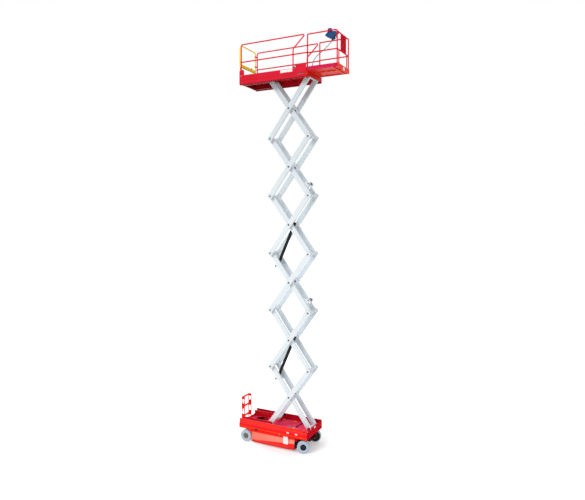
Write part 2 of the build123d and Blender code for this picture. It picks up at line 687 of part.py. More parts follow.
def gate_hinge():
    """Two collars on the left rear post that the gate's leg turns in."""
    collars = []
    for z in HINGE_COLLARS_Z:
        height = (z, z + COLLAR_HEIGHT)
        web = block((GATE_X + 12, REAR_POST_X - 8), (GATE_Y + 18, RAIL_LINE_Y), height)
        collar = web + rod_z(GATE_X, GATE_Y, RAIL_R + 8, height)
        collars.append(collar - rod_z(GATE_X, GATE_Y, RAIL_R + FIT, height))
    return collars[0] + collars[1]


def gate_bars(radius):
    """The bent bar of the gate: two legs and the top rail."""
    low = GATE_BAR_Z[0]
    loop = [(-GATE_Y, low), (-GATE_Y, TOP_RAIL_Z), (GATE_Y, TOP_RAIL_Z), (GATE_Y, low)]
    return bent_bar([(GATE_X, y, z) for y, z in loop], [70, 70], radius)


def rear_gate():
    """Gate frame: a bent tube over a deep box bar."""
    width = (-GATE_Y, GATE_Y)
    half = GATE_BAR_HALF
    gate = gate_bars(RAIL_R) + block((GATE_X - half, GATE_X + half), width, GATE_BAR_Z)
    half -= RAIL_WALL
    bore_z = (GATE_BAR_Z[0] + RAIL_WALL, GATE_BAR_Z[1] - RAIL_WALL)
    return gate - gate_bars(RAIL_R - RAIL_WALL) - block((GATE_X - half, GATE_X + half), width, bore_z)


def extension_deck():
    """Extension deck: plate on hollow ribs, slide bars that stay in the guides, toe-boards, front sheet."""
    y = EXT_HALF
    low, high = EXT_DECK_Z
    under = high - TOE_SHEET
    deck = block(EXT_X, (-y, y), (under, high))
    ribs = block((EXT_X[0], EXT_X[1] - TOE_SHEET), (-20, 20), (low, under))
    hollows = block((EXT_X[0] + 4, EXT_X[1] - TOE_SHEET - 4), (-16, 16), (low + 4, under))
    for x in EXT_RIB_X:
        ribs += block((x, x + 40), (-y, y), (low, under))
        hollows += block((x + 4, x + 36), (-y + 4, y - 4), (low + 4, under))
    deck += ribs - hollows
    deck += both(block(EXT_X, (y - TOE_SHEET, y), (low, EXT_TOE_TOP_Z)))
    deck += both(block((EXT_SLIDE_REAR_X, EXT_X[1] - 60), (y, y + 24), (low + 4, 12250)))
    return deck + block((EXT_X[1] - TOE_SHEET, EXT_X[1]), (-y, y), (EXT_FRONT_LOW_Z, EXT_TOE_TOP_Z + 8))


def extension_bars(radius):
    """Rails of the extension: a bent bar and a mid rail each side, two front rails and short lower posts."""
    rear, front = EXT_POST_X
    low, y = EXT_DECK_Z[1], EXT_RAIL_Y
    loop = [(rear, y, low), (rear, y, TOP_RAIL_Z), (front, y, TOP_RAIL_Z), (front, y, low)]
    bars = both(bent_bar(loop, [30, 60], radius) + rod_x(y, MID_RAIL_Z, radius, EXT_POST_X))
    for z in (EXT_FRONT_RAIL_Z, MID_RAIL_Z):
        bars += rod_y(front, z, radius, (-y, y))
    for post_y in LOWER_POSTS_Y:
        bars += rod_z(front, post_y, radius + LOWER_POST_R - RAIL_R, (low, MID_RAIL_Z))
    return bars


def extension_rails():
    """Guard rails of the extension, of round tube."""
    return extension_bars(RAIL_R) - extension_bars(RAIL_R - RAIL_WALL)


def front_panel():
    """Sheet panel between the front rails."""
    x = EXT_POST_X[1]
    return block((x - 2, x + 2), (-190, 260), (MID_RAIL_Z + RAIL_R, EXT_FRONT_RAIL_Z - RAIL_R))


def control_box():
    """Control box hung over the right rail near the front, with the gland of its lead."""
    outline = [(1388, 13175), (1396, 13150), (1600, 13032), (1640, 13045), (1690, 13150), (1780, 13195)]
    outline += [(1784, 13235), (1500, 13290)]
    body = make_face(Polyline(*outline, close=True))
    body = fillet(body.vertices(), 8)
    hook = make_face(Polyline((1490, 13303), (1503, 13350), (1600, 13350), (1615, 13303), close=True))
    neck = block((1500, 1605), (BOX_Y[0], HOOK_Y[1]), (13260, 13303))
    start, after = Vector(*CABLE_ROUTE[0]), Vector(*CABLE_ROUTE[1])
    gland = Plane(origin=start, z_dir=start - after) * extrude(Circle(GLAND_R), GLAND_LENGTH)
    return plate(body, BOX_Y) + plate(hook, HOOK_Y) + neck + gland


def control_cable():
    """Control lead from the box down to the extension deck."""
    points = [Vector(*point) for point in CABLE_ROUTE]
    radii = []
    for before, at, after in zip(points, points[1:], points[2:]):
        turn = math.radians((at - before).get_angle(after - at))
        radii.append(0.45 * min((at - before).length, (after - at).length) / math.tan(turn / 2))
    print("cable radii", [round(radius) for radius in radii])
    return bent_bar(CABLE_ROUTE, radii, CABLE_R)


def main():
    os.makedirs("parts", exist_ok=True)
    for level in range(1, STAGES + 1):
        save(f"scissor_inner_{level}", inner_arm(level))
        save(f"scissor_outer_{level}", outer_arm(level))
    for name, level in (("lower_cylinder", 1), ("upper_cylinder", 3)):
        barrel, rod = cylinder(level)
        save(name + "_barrel", barrel)
        save(name + "_rod", rod)
    save("lower_rollers", rollers(rear_pin(0)))
    save("upper_rollers", rollers(rear_pin(STAGES)))

    save("chassis_frame", chassis_frame())
    save("chassis_tray", chassis_tray())
    save("left_side_panel", side_panel())
    save("right_side_panel", right_of(side_panel()))
    front, rear = end_plates()
    save("front_plate", front)
    save("rear_plate", rear)
    save("pivot_lugs", pivot_lugs())
    save("lower_channels", channel_stands())
    save("rear_axle", rear_axle())
    save("front_axle", front_axle())
    save("entry_ladder", entry_ladder())
    save("counterweight", counterweight())
    save("left_knuckle", steered(knuckle(), 1))
    save("right_knuckle", steered(knuckle(), -1))
    save("tie_rod", tie_rod())
    for name, shape in (("wheel", tyre()), ("hub", hub())):
        outboard = Pos(0, WHEEL_Y - KINGPIN_Y, WHEEL_R) * shape
        save("front_left_" + name, steered(outboard, 1))
        save("front_right_" + name, steered(outboard, -1))
        rear_left = Pos(REAR_AXLE_X, WHEEL_Y, WHEEL_R) * shape
        save("rear_left_" + name, rear_left)
        save("rear_right_" + name, right_of(rear_left))
    save("left_tray_door", tray_door())
    save("right_tray_door", right_of(tray_door()))
    save("battery_pack", battery_pack())
    save("hydraulic_unit", hydraulic_unit())
    save("left_pothole_guard", pothole_guard())
    save("right_pothole_guard", right_of(pothole_guard()))

    save("platform_frame", platform_frame())
    save("platform_deck", platform_deck())
    save("toe_boards", toe_boards())
    save("left_guard_rail", guard_rail() + gate_hinge())
    save("right_guard_rail", right_of(guard_rail()))
    save("rear_gate", rear_gate())
    save("extension_deck", extension_deck())
    save("extension_rails", extension_rails())
    save("front_panel", front_panel())
    save("control_box", control_box())
    save("control_cable", control_cable())


main()
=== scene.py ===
"""A raised slab scissor lift: finishes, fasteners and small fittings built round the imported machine. Metres, +X to the
steered front, +Y to the left, +Z up, floor at z = 0. The file follows the machine from the studio round it and its
cable, up from the chassis through the scissor stack to the platform."""

import math

import bmesh
import bpy
from mathutils import Matrix, Vector


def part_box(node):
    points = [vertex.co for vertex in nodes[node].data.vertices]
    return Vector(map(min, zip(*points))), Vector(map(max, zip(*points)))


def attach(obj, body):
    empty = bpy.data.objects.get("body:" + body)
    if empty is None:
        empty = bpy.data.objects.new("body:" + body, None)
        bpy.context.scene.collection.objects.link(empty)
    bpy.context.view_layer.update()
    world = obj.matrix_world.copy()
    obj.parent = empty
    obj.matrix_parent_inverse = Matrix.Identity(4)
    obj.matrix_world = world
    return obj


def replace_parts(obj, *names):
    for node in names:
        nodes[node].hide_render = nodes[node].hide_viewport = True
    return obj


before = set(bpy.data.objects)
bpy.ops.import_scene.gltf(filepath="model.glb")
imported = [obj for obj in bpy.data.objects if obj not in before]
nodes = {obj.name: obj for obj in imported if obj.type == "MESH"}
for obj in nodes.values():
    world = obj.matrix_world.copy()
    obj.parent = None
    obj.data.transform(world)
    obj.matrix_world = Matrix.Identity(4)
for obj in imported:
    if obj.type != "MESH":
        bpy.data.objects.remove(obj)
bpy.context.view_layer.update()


# --- Studio -------------------------------------------------------------------------------------------------------
# A pale floor under an even white sky, with one broad lamp over the near side and a weak one from the front. The
# viewer stands off the near front corner, at about half the height of the raised platform.

VIEW_POINT = (8.213, -15.996, 7.52)
VIEW_TURN = math.radians(27.09)
VIEW_TILT = math.radians(88.5)
LENS_MM = 33.47
SENSOR_MM = 36
FRAME_SHIFT = -0.03
FLOOR_REACH = 300.0
SHADOW_REACH = 2.8
SHADOW_GLOW = 0.2
FLOOR_GLOW = 1.6
SKY_LEVEL = 0.7
KEY_LEVEL = 1.5
FILL_LEVEL = 0.3


class Value:
    """One value in a finish's or a pattern's node tree. Arithmetic on it adds Math nodes."""

    def __init__(self, tree, socket=None):
        self.tree = tree
        self.socket = socket

    def node(self, kind, inputs=None, output=0, **settings):
        """Adds a node, sets it up, joins or sets its inputs and gives one of its outputs."""
        made = self.tree.nodes.new(kind)
        for name, setting in settings.items():
            setattr(made, name, setting)
        for name, given in (inputs or {}).items():
            for value in given if isinstance(given, list) else [given]:
                if isinstance(value, Value):
                    value.feed(made.inputs[name])
                else:
                    made.inputs[name].default_value = value
        return Value(self.tree, made.outputs[output])

    def feed(self, target):
        """Joins this to a node's input."""
        self.tree.links.new(self.socket, target)

    def place(self):
        """Where a point lies, in its piece's own metres."""
        return self.node("ShaderNodeTexCoord", output=3)

    def part(self, index):
        """One part of this as a vector."""
        return self.node("ShaderNodeSeparateXYZ", {0: self}, index)

    def math(self, operation, *values):
        return self.node("ShaderNodeMath", dict(enumerate(values)), operation=operation)

    def mix(self, low, high):
        """The colour low where this is 0 and high where it is 1."""
        low, high = ((*colour, 1) if isinstance(colour, tuple) else colour for colour in (low, high))
        return self.node("ShaderNodeMix", {0: self, 6: low, 7: high}, 2, data_type="RGBA")

    def clamped(self):
        return self.node("ShaderNodeClamp", {"Value": self})

    def __add__(self, other):
        return self.math("ADD", self, other)

    def __sub__(self, other):
        return self.math("SUBTRACT", self, other)

    def __rsub__(self, other):
        return self.math("SUBTRACT", other, self)

    def __mul__(self, other):
        return self.math("MULTIPLY", self, other)

    def __truediv__(self, other):
        return self.math("DIVIDE", self, other)

    __radd__ = __add__
    __rmul__ = __mul__


def new_finish(name, gloss=0.5):
    """A material whose shader mirrors as much as gloss says, the Value that adds its nodes, and the shader."""
    finish = bpy.data.materials.new(name)
    finish.use_nodes = True
    surface = finish.node_tree.nodes["Principled BSDF"]
    surface.inputs["Specular IOR Level"].default_value = gloss
    return finish, Value(finish.node_tree), surface


def show(name, data):
    """Puts a mesh, a curve, a lamp or a camera in the scene."""
    shown = bpy.data.objects.new(name, data)
    bpy.context.scene.collection.objects.link(shown)
    return shown


camera = show("viewer", bpy.data.cameras.new("viewer"))
camera.location = VIEW_POINT
camera.rotation_euler = (VIEW_TILT, 0, VIEW_TURN)
camera.data.lens = LENS_MM
camera.data.sensor_width = SENSOR_MM
camera.data.shift_y = FRAME_SHIFT
camera.data.clip_end = 2 * FLOOR_REACH
bpy.context.scene.camera = camera
bpy.context.scene.view_settings.view_transform = "Standard"

floor_mesh = bpy.data.meshes.new("floor")
corners = [(x * FLOOR_REACH, y * FLOOR_REACH, 0) for x, y in ((-1, -1), (1, -1), (1, 1), (-1, 1))]
floor_mesh.from_pydata(corners, [], [(0, 1, 2, 3)])
floor = show("floor", floor_mesh)
floor_finish, make, surface = new_finish("pale_floor", 0.1)
surface.inputs["Base Color"].default_value = (0.88, 0.88, 0.88, 1)
surface.inputs["Roughness"].default_value = 0.9
distance = make.node("ShaderNodeVectorMath", {0: make.place()}, 1, operation="LENGTH")
seen = make.math("MAXIMUM", make.node("ShaderNodeLightPath"), make.node("ShaderNodeLightPath", output=3))
beyond = ((distance - 0.3 * SHADOW_REACH) / (0.7 * SHADOW_REACH)).clamped()
glow = make.node("ShaderNodeEmission", {"Color": (1, 1, 1, 1), "Strength": FLOOR_GLOW})
lit = Value(make.tree, surface.outputs[0])
share = seen * (SHADOW_GLOW + (1 - SHADOW_GLOW) * beyond)
make.node("ShaderNodeMixShader", {0: share, 1: lit, 2: glow}).feed(make.tree.nodes["Material Output"].inputs[0])
floor.data.materials.append(floor_finish)

world = bpy.data.worlds.new("white_sky")
world.use_nodes = True
bpy.context.scene.world = world
sky = Value(world.node_tree)
rays = [sky.node("ShaderNodeLightPath", output=index) for index in (0, 3, 6)]
plain = sky.math("MAXIMUM", sky.math("MAXIMUM", rays[0], rays[1]), rays[2])
background = world.node_tree.nodes["Background"]
background.inputs["Color"].default_value = (1, 1, 1, 1)
(SKY_LEVEL + (1 - SKY_LEVEL) * plain).feed(background.inputs["Strength"])

for name, azimuth, height, level, spread in (("key", -20, 38, KEY_LEVEL, 25), ("fill", 80, 25, FILL_LEVEL, 60)):
    lamp = show(name, bpy.data.lights.new(name, "SUN"))
    lamp.data.energy = level
    lamp.data.angle = math.radians(spread)
    lamp.rotation_euler = (math.radians(90 - height), 0, math.radians(azimuth))


# --- Control cable ------------------------------------------------------------------------------------------------
# A grey rubber-jacketed lead, 22 mm thick, that leaves the underside of the control box, hangs down and back inside
# the right rail, and goes through the extension deck near its rear post.

CABLE_DIAMETER = 0.022
CABLE_ROUTE = [
    (1.586, -0.36, 13.022),
    (1.556, -0.361, 12.964),
    (1.494, -0.37, 12.892),
    (1.395, -0.392, 12.8),
    (1.275, -0.41, 12.705),
    (1.15, -0.424, 12.615),
    (1.05, -0.434, 12.53),
    (0.985, -0.44, 12.43),
    (0.96, -0.444, 12.31),
    (0.96, -0.444, 12.19),
]


def noise(make, scale, detail=3.0, stretch=None):
    """Cloudy noise over a piece's own metres, stretched along an axis where stretch says."""
    place = make.place()
    if stretch:
        place = make.node("ShaderNodeMapping", {"Vector": place, "Scale": stretch})
    return make.node("ShaderNodeTexNoise", {"Vector": place, "Scale": scale, "Detail": detail})


def coat(make, surface, colour, roughness, grain=None, strength=0.12, depth=0.0006):
    """Gives a shader its colour, its roughness and the fine relief of its surface."""
    colour.feed(surface.inputs["Base Color"])
    roughness.feed(surface.inputs["Roughness"])
    if grain:
        relief = make.node("ShaderNodeBump", {"Strength": strength, "Distance": depth, "Height": grain})
        relief.feed(surface.inputs["Normal"])


def moulded(name, colour, worn, roughness=0.5, grain=400.0):
    """A moulded rubber or plastic finish: fine grain in the surface and patches rubbed to a second colour."""
    finish, make, surface = new_finish(name, 0.15)
    cloud = noise(make, 7.0, 5.0)
    rubbed = ((noise(make, 45.0, 6.0) - 0.52) * 5.0).clamped()
    tone = (0.3 * cloud + 0.35 * rubbed).clamped().mix(colour, worn)
    coat(make, surface, tone, roughness - 0.1 + 0.2 * cloud, noise(make, grain, 2.0), 0.4, 0.0004)
    return finish


def bent_tube(name, points, radius, steps, sides):
    """A round bar or lead bent smoothly along a few points."""
    line = bpy.data.curves.new(name, "CURVE")
    line.dimensions = "3D"
    spline = line.splines.new("NURBS")
    spline.points.add(len(points) - 1)
    for point, at in zip(spline.points, points):
        point.co = (*at, 1)
    spline.order_u = 3
    spline.use_endpoint_u = True
    spline.resolution_u = steps
    line.bevel_depth = radius
    line.bevel_resolution = sides
    line.use_fill_caps = True
    return show(name, line)


cable = bent_tube("control_lead", CABLE_ROUTE, CABLE_DIAMETER / 2, 12, 4)
cable.data.materials.append(moulded("grey_jacket", (0.13, 0.135, 0.15), (0.24, 0.245, 0.26), 0.55))
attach(cable, "extension")
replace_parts(cable, "control_cable")


# --- Chassis skins ------------------------------------------------------------------------------------------------
# Folded steel skins, box rails, bulkheads and rear axle, welded together and sprayed with red enamel. Their paint
# carries painted light: orange and pink bands and highlights along the folds, a pink painted sheen on faces that
# look up and a pale painted reflection of the floor low on the skirts. Painted shade darkens the groove, the inward
# faces, the door seams and the front wheel arch. The front plate is a darker copy of the red, as painted shade.

NOSE_X = 0.8448
BAND_Y = 0.5795
RIM_Z = 0.7545
SHARP_EDGE = math.radians(35)


def within(make, axis, low, high, soft):
    """1 where a place along an axis lies between low and high, either side of the centre plane for Y."""
    along = make.place().part("XYZ".index(axis))
    if axis == "Y":
        along = make.math("ABSOLUTE", along)
    return ((along - low) / soft).clamped() * ((high - along) / soft).clamped()


def bands(*limits):
    """How to find the paint that lies within every limit, each one an axis, low, high and softness."""

    def find(make):
        found = within(make, *limits[0])
        for limit in limits[1:]:
            found = found * within(make, *limit)
        return found

    return find


def inside(make):
    """1 on faces that look towards the centre plane."""
    looks = make.node("ShaderNodeNewGeometry", output=1).part(1)
    return (-12.0 * make.place().part(1) * looks - 0.5).clamped()


def upward(make):
    """1 on faces that look up."""
    return (4.0 * make.node("ShaderNodeNewGeometry", output=1).part(2) - 2.6).clamped()


def floor_reflection(make):
    """1 on the band of the skirts that is painted pale as a reflection of the floor. It rises towards the front."""
    x, z = make.place().part(0), make.place().part(2)
    low = ((z - 0.083 * x - 0.215) / 0.02).clamped()
    high = ((0.395 - z) / 0.03).clamped()
    return low * high * (0.75 + 0.35 * (x + 0.9).clamped())


def enamel(name, colour, deep, roughness=0.32, dust=0.0, dust_height=0.5, tones=(), gloss=0.08):
    """Sprayed enamel on steel: uneven colour, orange-peel gloss, fine scuffs, road dust below dust_height, and
    tones, each a colour and how to find where the paint has it."""
    finish, make, surface = new_finish(name, gloss)
    cloud = noise(make, 1.9, 4.0)
    runs = noise(make, 3.0, 5.0, (6, 6, 0.7))
    scuffs = ((noise(make, 60.0, 8.0, (1, 1, 0.25)) - 0.6) * 9.0).clamped()
    colour_now = (1.6 * cloud + 0.5 * runs - 0.75).clamped().mix(colour, deep)
    for other, find in tones:
        colour_now = (find(make) * (0.75 + 0.25 * cloud)).mix(colour_now, other)
    worn = tuple(0.75 * part + 0.03 for part in deep)
    colour_now = (0.25 * scuffs).mix(colour_now, worn)
    roughness_now = roughness + 0.12 * cloud + 0.2 * scuffs
    if dust:
        low = ((dust_height - make.place().part(2)) / dust_height).clamped()
        film = (dust * low * (0.4 + noise(make, 9.0, 7.0))).clamped()
        colour_now = film.mix(colour_now, (0.22, 0.16, 0.12))
        roughness_now = roughness_now + 0.35 * film
    coat(make, surface, colour_now, roughness_now, noise(make, 240.0, 2.0))
    return finish


def dress(finish, *names):
    """Gives CAD nodes their finish."""
    for name in names:
        for held in nodes[name].material_slots:
            held.material = finish


deep_red = (0.7, 0.006, 0.007)
orange = (0.96, 0.052, 0.014)
side_tones = [
    # Painted highlights: orange and pink bands and orange lines along the folds, where light catches them.
    ((0.88, 0.028, 0.02), bands(("Z", 0.69, 0.74, 0.01))),
    ((0.9, 0.03, 0.052), bands(("Z", 0.6, 0.65, 0.01))),
    (orange, bands(("Z", 0.658, 0.69, 0.008))),
    (orange, bands(("Z", 0.486, 0.53, 0.01))),
    # Painted shade: a dark line in the groove.
    (deep_red, bands(("Z", 0.6, 0.608, 0.002))),
    # Painted reflection of the pale floor: a salmon band low on the skirts.
    ((0.96, 0.29, 0.205), floor_reflection),
    (deep_red, bands(("Z", -0.1, 0.13, 0.01))),
    # Painted shadow in the seam between the door and the skin.
    ((0.34, 0.004, 0.004), bands(("X", 0.178, 0.194, 0.003), ("Z", 0.0, 0.455, 0.004))),
    # Painted shade on faces that look inward.
    ((0.42, 0.003, 0.016), inside),
    # Painted sheen on faces that look up.
    ((0.8, 0.085, 0.15), upward),
    # Painted shade in the front wheel arch and under the front.
    ((0.03, 0.003, 0.004), bands(("X", 0.6, 0.9, 0.003), ("Z", 0.0, 0.448, 0.003))),
]
side_red = enamel("side_red", (0.96, 0.01, 0.006), (0.88, 0.004, 0.004), dust=0.1, tones=side_tones)
plain_red = enamel("plain_red", (0.88, 0.012, 0.008), (0.74, 0.005, 0.006), dust=0.15)
# The front red is a darker copy of the side red: painted shade on the front plate and arch brackets.
shaded_front_red = enamel("shaded_front_red", (0.58, 0.002, 0.014), (0.48, 0.002, 0.01), 0.5, 0.03, 0.3, gloss=0.01)
black_enamel = enamel("black_enamel", (0.022, 0.023, 0.026), (0.01, 0.01, 0.012), 0.42, 0.25)
dress(side_red, "left_side_panel", "right_side_panel", "chassis_frame", "left_tray_door", "right_tray_door")
dress(plain_red, "rear_plate", "rear_axle")
dress(shaded_front_red, "front_plate")
dress(black_enamel, "counterweight")


def bar(x, y, z, chamfer):
    """Bar between two values of each axis, with broken edges."""
    part = bmesh.new()
    bmesh.ops.create_cube(part, size=1)
    size = Matrix.Diagonal((x[1] - x[0], y[1] - y[0], z[1] - z[0], 1))
    part.transform(Matrix.Translation((sum(x) / 2, sum(y) / 2, sum(z) / 2)) @ size)
    bmesh.ops.bevel(part, geom=part.edges[:], offset=chamfer, segments=2, profile=0.5, affect="EDGES")
    return part


def turned(profile, at=(0, 0, 0), axis=(0, 0, 1), sides=24, ring=False):
    """Part turned on a lathe from (radius, height) pairs up an axis at a place, closed at its ends or into a ring."""
    part = bmesh.new()
    angles = [math.tau * step / sides for step in range(sides)]
    rings = [[part.verts.new((r * math.cos(a), r * math.sin(a), h)) for a in angles] for r, h in profile]
    for low, high in zip(rings, rings[1:] + (rings[:1] if ring else [])):
        for k in range(sides):
            after = (k + 1) % sides
            part.faces.new((low[k], low[after], high[after], high[k]))
    if not ring:
        part.faces.new(rings[0][::-1])
        part.faces.new(rings[-1])
    part.transform(aimed(at, axis))
    return part


def cut_plate(outline, thickness, chamfer, place):
    """Plate cut to an outline in x and y, standing on z = 0, with its edges broken, then moved to its place."""
    part = bmesh.new()
    face = part.faces.new([part.verts.new((x, y, 0)) for x, y in outline])
    face.normal_update()
    if face.normal.z > 0:
        face.normal_flip()
    raised = bmesh.ops.extrude_face_region(part, geom=[face])["geom"]
    lifted = [item for item in raised if isinstance(item, bmesh.types.BMVert)]
    bmesh.ops.translate(part, vec=(0, 0, thickness), verts=lifted)
    bmesh.ops.recalc_face_normals(part, faces=part.faces[:])
    bmesh.ops.bevel(part, geom=part.edges[:], offset=chamfer, segments=1, profile=0.5, affect="EDGES")
    part.transform(place)
    return part


def aimed(at, axis):
    """Stands a part on a place, its own Z axis along axis."""
    return Matrix.Translation(at) @ Vector(axis).to_track_quat("Z", "Y").to_matrix().to_4x4()


def install(name, mesh, body):
    """Fixes a finished mesh to its body."""
    mesh.shade_smooth()
    mesh.set_sharp_from_angle(angle=SHARP_EDGE)
    piece = show(name, mesh)
    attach(piece, body)
    return piece


def fit(name, body, slot, finish, *parts):
    """Joins parts into one fitting on its body."""
    whole = bmesh.new()
    held = bpy.data.meshes.new(name)
    for part in parts:
        part.to_mesh(held)
        part.free()
        whole.from_mesh(held)
    whole.to_mesh(held)
    whole.free()
    held.materials.append(finish)
    return install(name, held, body)


# Blank white plates stand where such a machine carries its notices: one on the right skirt that follows its fold, two
# small ones on the band above, and one small oval plate with corner spots on the front. Black plugs close holes in
# the rim.

plate_white = enamel("plate_white", (0.82, 0.82, 0.8), (0.7, 0.71, 0.7), 0.4)
folded = [(-0.5685, 0.2), (-0.558, 0.318), (-0.558, 0.438), (-0.555, 0.438), (-0.555, 0.318), (-0.565, 0.2)]
upright = Matrix(((0, 0, 1, -0.022), (1, 0, 0, 0), (0, 1, 0, 0), (0, 0, 0, 1)))
fit("skirt_notice", "right_tray", "white_paint", plate_white, cut_plate(folded, 0.178, 0.0005, upright))
plates = [bar((x - 0.04, x + 0.04), (-0.5815, -0.579), (0.566, 0.604), 0.0008) for x in (0.15, 0.456)]
fit("band_notices", "chassis", "white_paint", plate_white, *plates)
oval = [(0.068 * math.cos(math.tau * k / 20), 0.032 * math.sin(math.tau * k / 20)) for k in range(20)]
forward = Matrix.Rotation(math.pi / 2, 4, "Z") @ Matrix.Rotation(math.pi / 2, 4, "X")
oval_plate = cut_plate(oval, 0.0018, 0.0004, Matrix.Translation((NOSE_X, 0.012, 0.698)) @ forward)
dot = [(0.02, 0), (0.02, 0.0015), (0.017, 0.002)]
dots = [turned(dot, (NOSE_X, y, 0.722), (1, 0, 0), 14) for y in (-0.532, -0.3)]
fit("front_notice", "chassis", "white_paint", plate_white, oval_plate, *dots)
plug = [(0.022, 0), (0.022, 0.004), (0.016, 0.008), (0.006, 0.009)]
plug_places = [((0.735, -BAND_Y, 0.7), (0, -1, 0)), ((NOSE_X, 0.405, 0.728), (1, 0, 0))]
plug_places += [((x, y, RIM_Z), (0, 0, 1)) for x, y in ((0.612, -0.552), (0.64, 0.56), (0.79, 0.56))]
plug_black = moulded("plug_black", (0.01, 0.01, 0.012), (0.03, 0.03, 0.034))
fit("rim_plugs", "chassis", "black_nylon", plug_black, *[turned(plug, *place, 18) for place in plug_places])


# --- Fasteners ----------------------------------------------------------------------------------------------------
# Hexagon bolts on flat washers hold the bolted joints. One pattern sets a bolt on each marked place, square to the
# steel there. Those on the chassis' own skins are painted over with them.


def new_pattern(name, *sizes):
    """An empty Geometry Nodes tree, the Value that adds its nodes, and its inputs by name: sizes and a finish."""
    tree = bpy.data.node_groups.new(name, "GeometryNodeTree")
    tree.interface.new_socket("Geometry", in_out="INPUT", socket_type="NodeSocketGeometry")
    for size in sizes:
        tree.interface.new_socket(size, in_out="INPUT", socket_type="NodeSocketFloat")
    tree.interface.new_socket("Finish", in_out="INPUT", socket_type="NodeSocketMaterial")
    tree.interface.new_socket("Geometry", in_out="OUTPUT", socket_type="NodeSocketGeometry")
    inlet = tree.nodes.new("NodeGroupInput")
    return tree, Value(tree), {socket.name: Value(tree, socket) for socket in inlet.outputs if socket.name}


def close_pattern(make, given, item):
    """Stands a pattern's item on each mark, square to the mark's facing, makes all of them real and paints them."""
    facing = make.node("GeometryNodeInputNamedAttribute", {"Name": "facing"}, data_type="FLOAT_VECTOR")
    square = make.node("FunctionNodeAlignRotationToVector", {"Vector": facing}, axis="Z")
    stood = {"Points": given["Geometry"], "Instance": item, "Rotation": square}
    real = make.node("GeometryNodeRealizeInstances", {0: make.node("GeometryNodeInstanceOnPoints", stood)})
    painted = make.node("GeometryNodeSetMaterial", {"Geometry": real, "Material": given["Finish"]})
    painted.feed(make.tree.nodes.new("NodeGroupOutput").inputs[0])


def grow(name, pattern, places, finish, body, sizes):
    """Marks places, each with the way that its steel faces, runs a pattern on them and fixes the mesh that comes out
    to its body."""
    marks = bpy.data.meshes.new(name + "_marks")
    marks.from_pydata([place for place, facing in places], [], [])
    facings = marks.attributes.new("facing", "FLOAT_VECTOR", "POINT")
    for item, (place, facing) in zip(facings.data, places):
        item.vector = facing
    marked = show(name + "_marks", marks)
    modifier = marked.modifiers.new("pattern", "NODES")
    modifier.node_group = pattern
    keys = {item.name: item.identifier for item in pattern.interface.items_tree if item.in_out == "INPUT"}
    for size, value in {**sizes, "Finish": finish}.items():
        modifier[keys[size]] = value
    evaluated = marked.evaluated_get(bpy.context.evaluated_depsgraph_get())
    mesh = bpy.data.meshes.new_from_object(evaluated)
    marked.modifiers.remove(modifier)
    bpy.data.objects.remove(marked)
    return install(name, mesh, body)


bolt_pattern, make, given = new_pattern("bolt_pattern", "Head radius", "Head height")
radius, height = given["Head radius"], given["Head height"]
head = make.node("GeometryNodeMeshCylinder", {"Vertices": 6, "Radius": radius, "Depth": height})
washer = make.node("GeometryNodeMeshCylinder", {"Vertices": 14, "Radius": 1.5 * radius, "Depth": 0.5 * height})
seat = make.node("ShaderNodeCombineXYZ", {2: 0.6 * height})
raised = make.node("GeometryNodeTransform", {"Geometry": head, "Translation": seat})
close_pattern(make, given, make.node("GeometryNodeJoinGeometry", {0: [raised, washer]}))


def plating(name, colour, roughness=0.34):
    """Plated or bare steel: metal with a faint cloud and fine drawn lines."""
    finish, make, surface = new_finish(name)
    surface.inputs["Metallic"].default_value = 1.0
    cloud = noise(make, 22.0, 5.0)
    lines = noise(make, 130.0, 3.0, (1, 1, 8))
    tone = (cloud * 1.2 - 0.3).clamped().mix(colour, tuple(0.55 * part for part in colour))
    coat(make, surface, tone, roughness - 0.08 + 0.12 * lines + 0.12 * cloud)
    return finish


zinc = plating("zinc_plate", (0.62, 0.62, 0.6))


def bolt_up(name, body, places, radius, height, finish=zinc):
    """Hexagon bolts on washers, one at each place."""
    grow(name, bolt_pattern, places, finish, body, {"Head radius": radius, "Head height": height})


chassis_bolts = [((-1.6985, y, z), (-1, 0, 0)) for y in (-0.3, 0.3) for z in (0.49, 0.565)]
for side in (-1, 1):
    chassis_bolts += [((0.8462, side * y, 0.52), (1, 0, 0)) for y in (0.12, 0.31)]
    for x in (-1.197, 0.213, 0.353):
        chassis_bolts += [((x, side * 0.557, z), (0, side, 0)) for z in (0.35, 0.43)]
bolt_up("chassis_bolts", "chassis", chassis_bolts, 0.008, 0.006, plain_red)


# --- Tray ---------------------------------------------------------------------------------------------------------
# The tray floor between the side skins, with pressed ribs, a cut-out over the pump, the lugs that hold the lowest
# arms and the channels that their rollers run in. Its red is a darker copy of the sides' red, as painted shade, and
# the floor's upward faces carry a pink painted sheen.

TRAY_FLOOR = 0.545
RIB_HALF = 0.013
RIBS = [
    ((-0.69, -0.145), (-0.612, 0.3)),
    ((-0.64, 0.3), (-0.25, -0.14)),
    ((-0.18, 0.3), (0.12, -0.14)),
    ((0.3, -0.14), (0.56, -0.14)),
    ((-1.0, -0.5), (-0.25, -0.5)),
    ((0.25, -0.5), (0.7, -0.5)),
    ((-1.0, 0.47), (-0.75, 0.47)),
    ((0.25, 0.48), (0.7, 0.48)),
]

# Painted sheen on the tray floor's upward faces; the tray red is a darker copy of the side red, as painted shade.
tray_sheen_tones = [((0.84, 0.05, 0.135), lambda make: upward(make) * within(make, "Z", 0.5, 0.56, 0.004))]
tray_red = enamel("tray_red", (0.66, 0.006, 0.02), (0.52, 0.004, 0.016), 0.4, tones=tray_sheen_tones)
dress(tray_red, "chassis_tray", "pivot_lugs", "lower_channels")

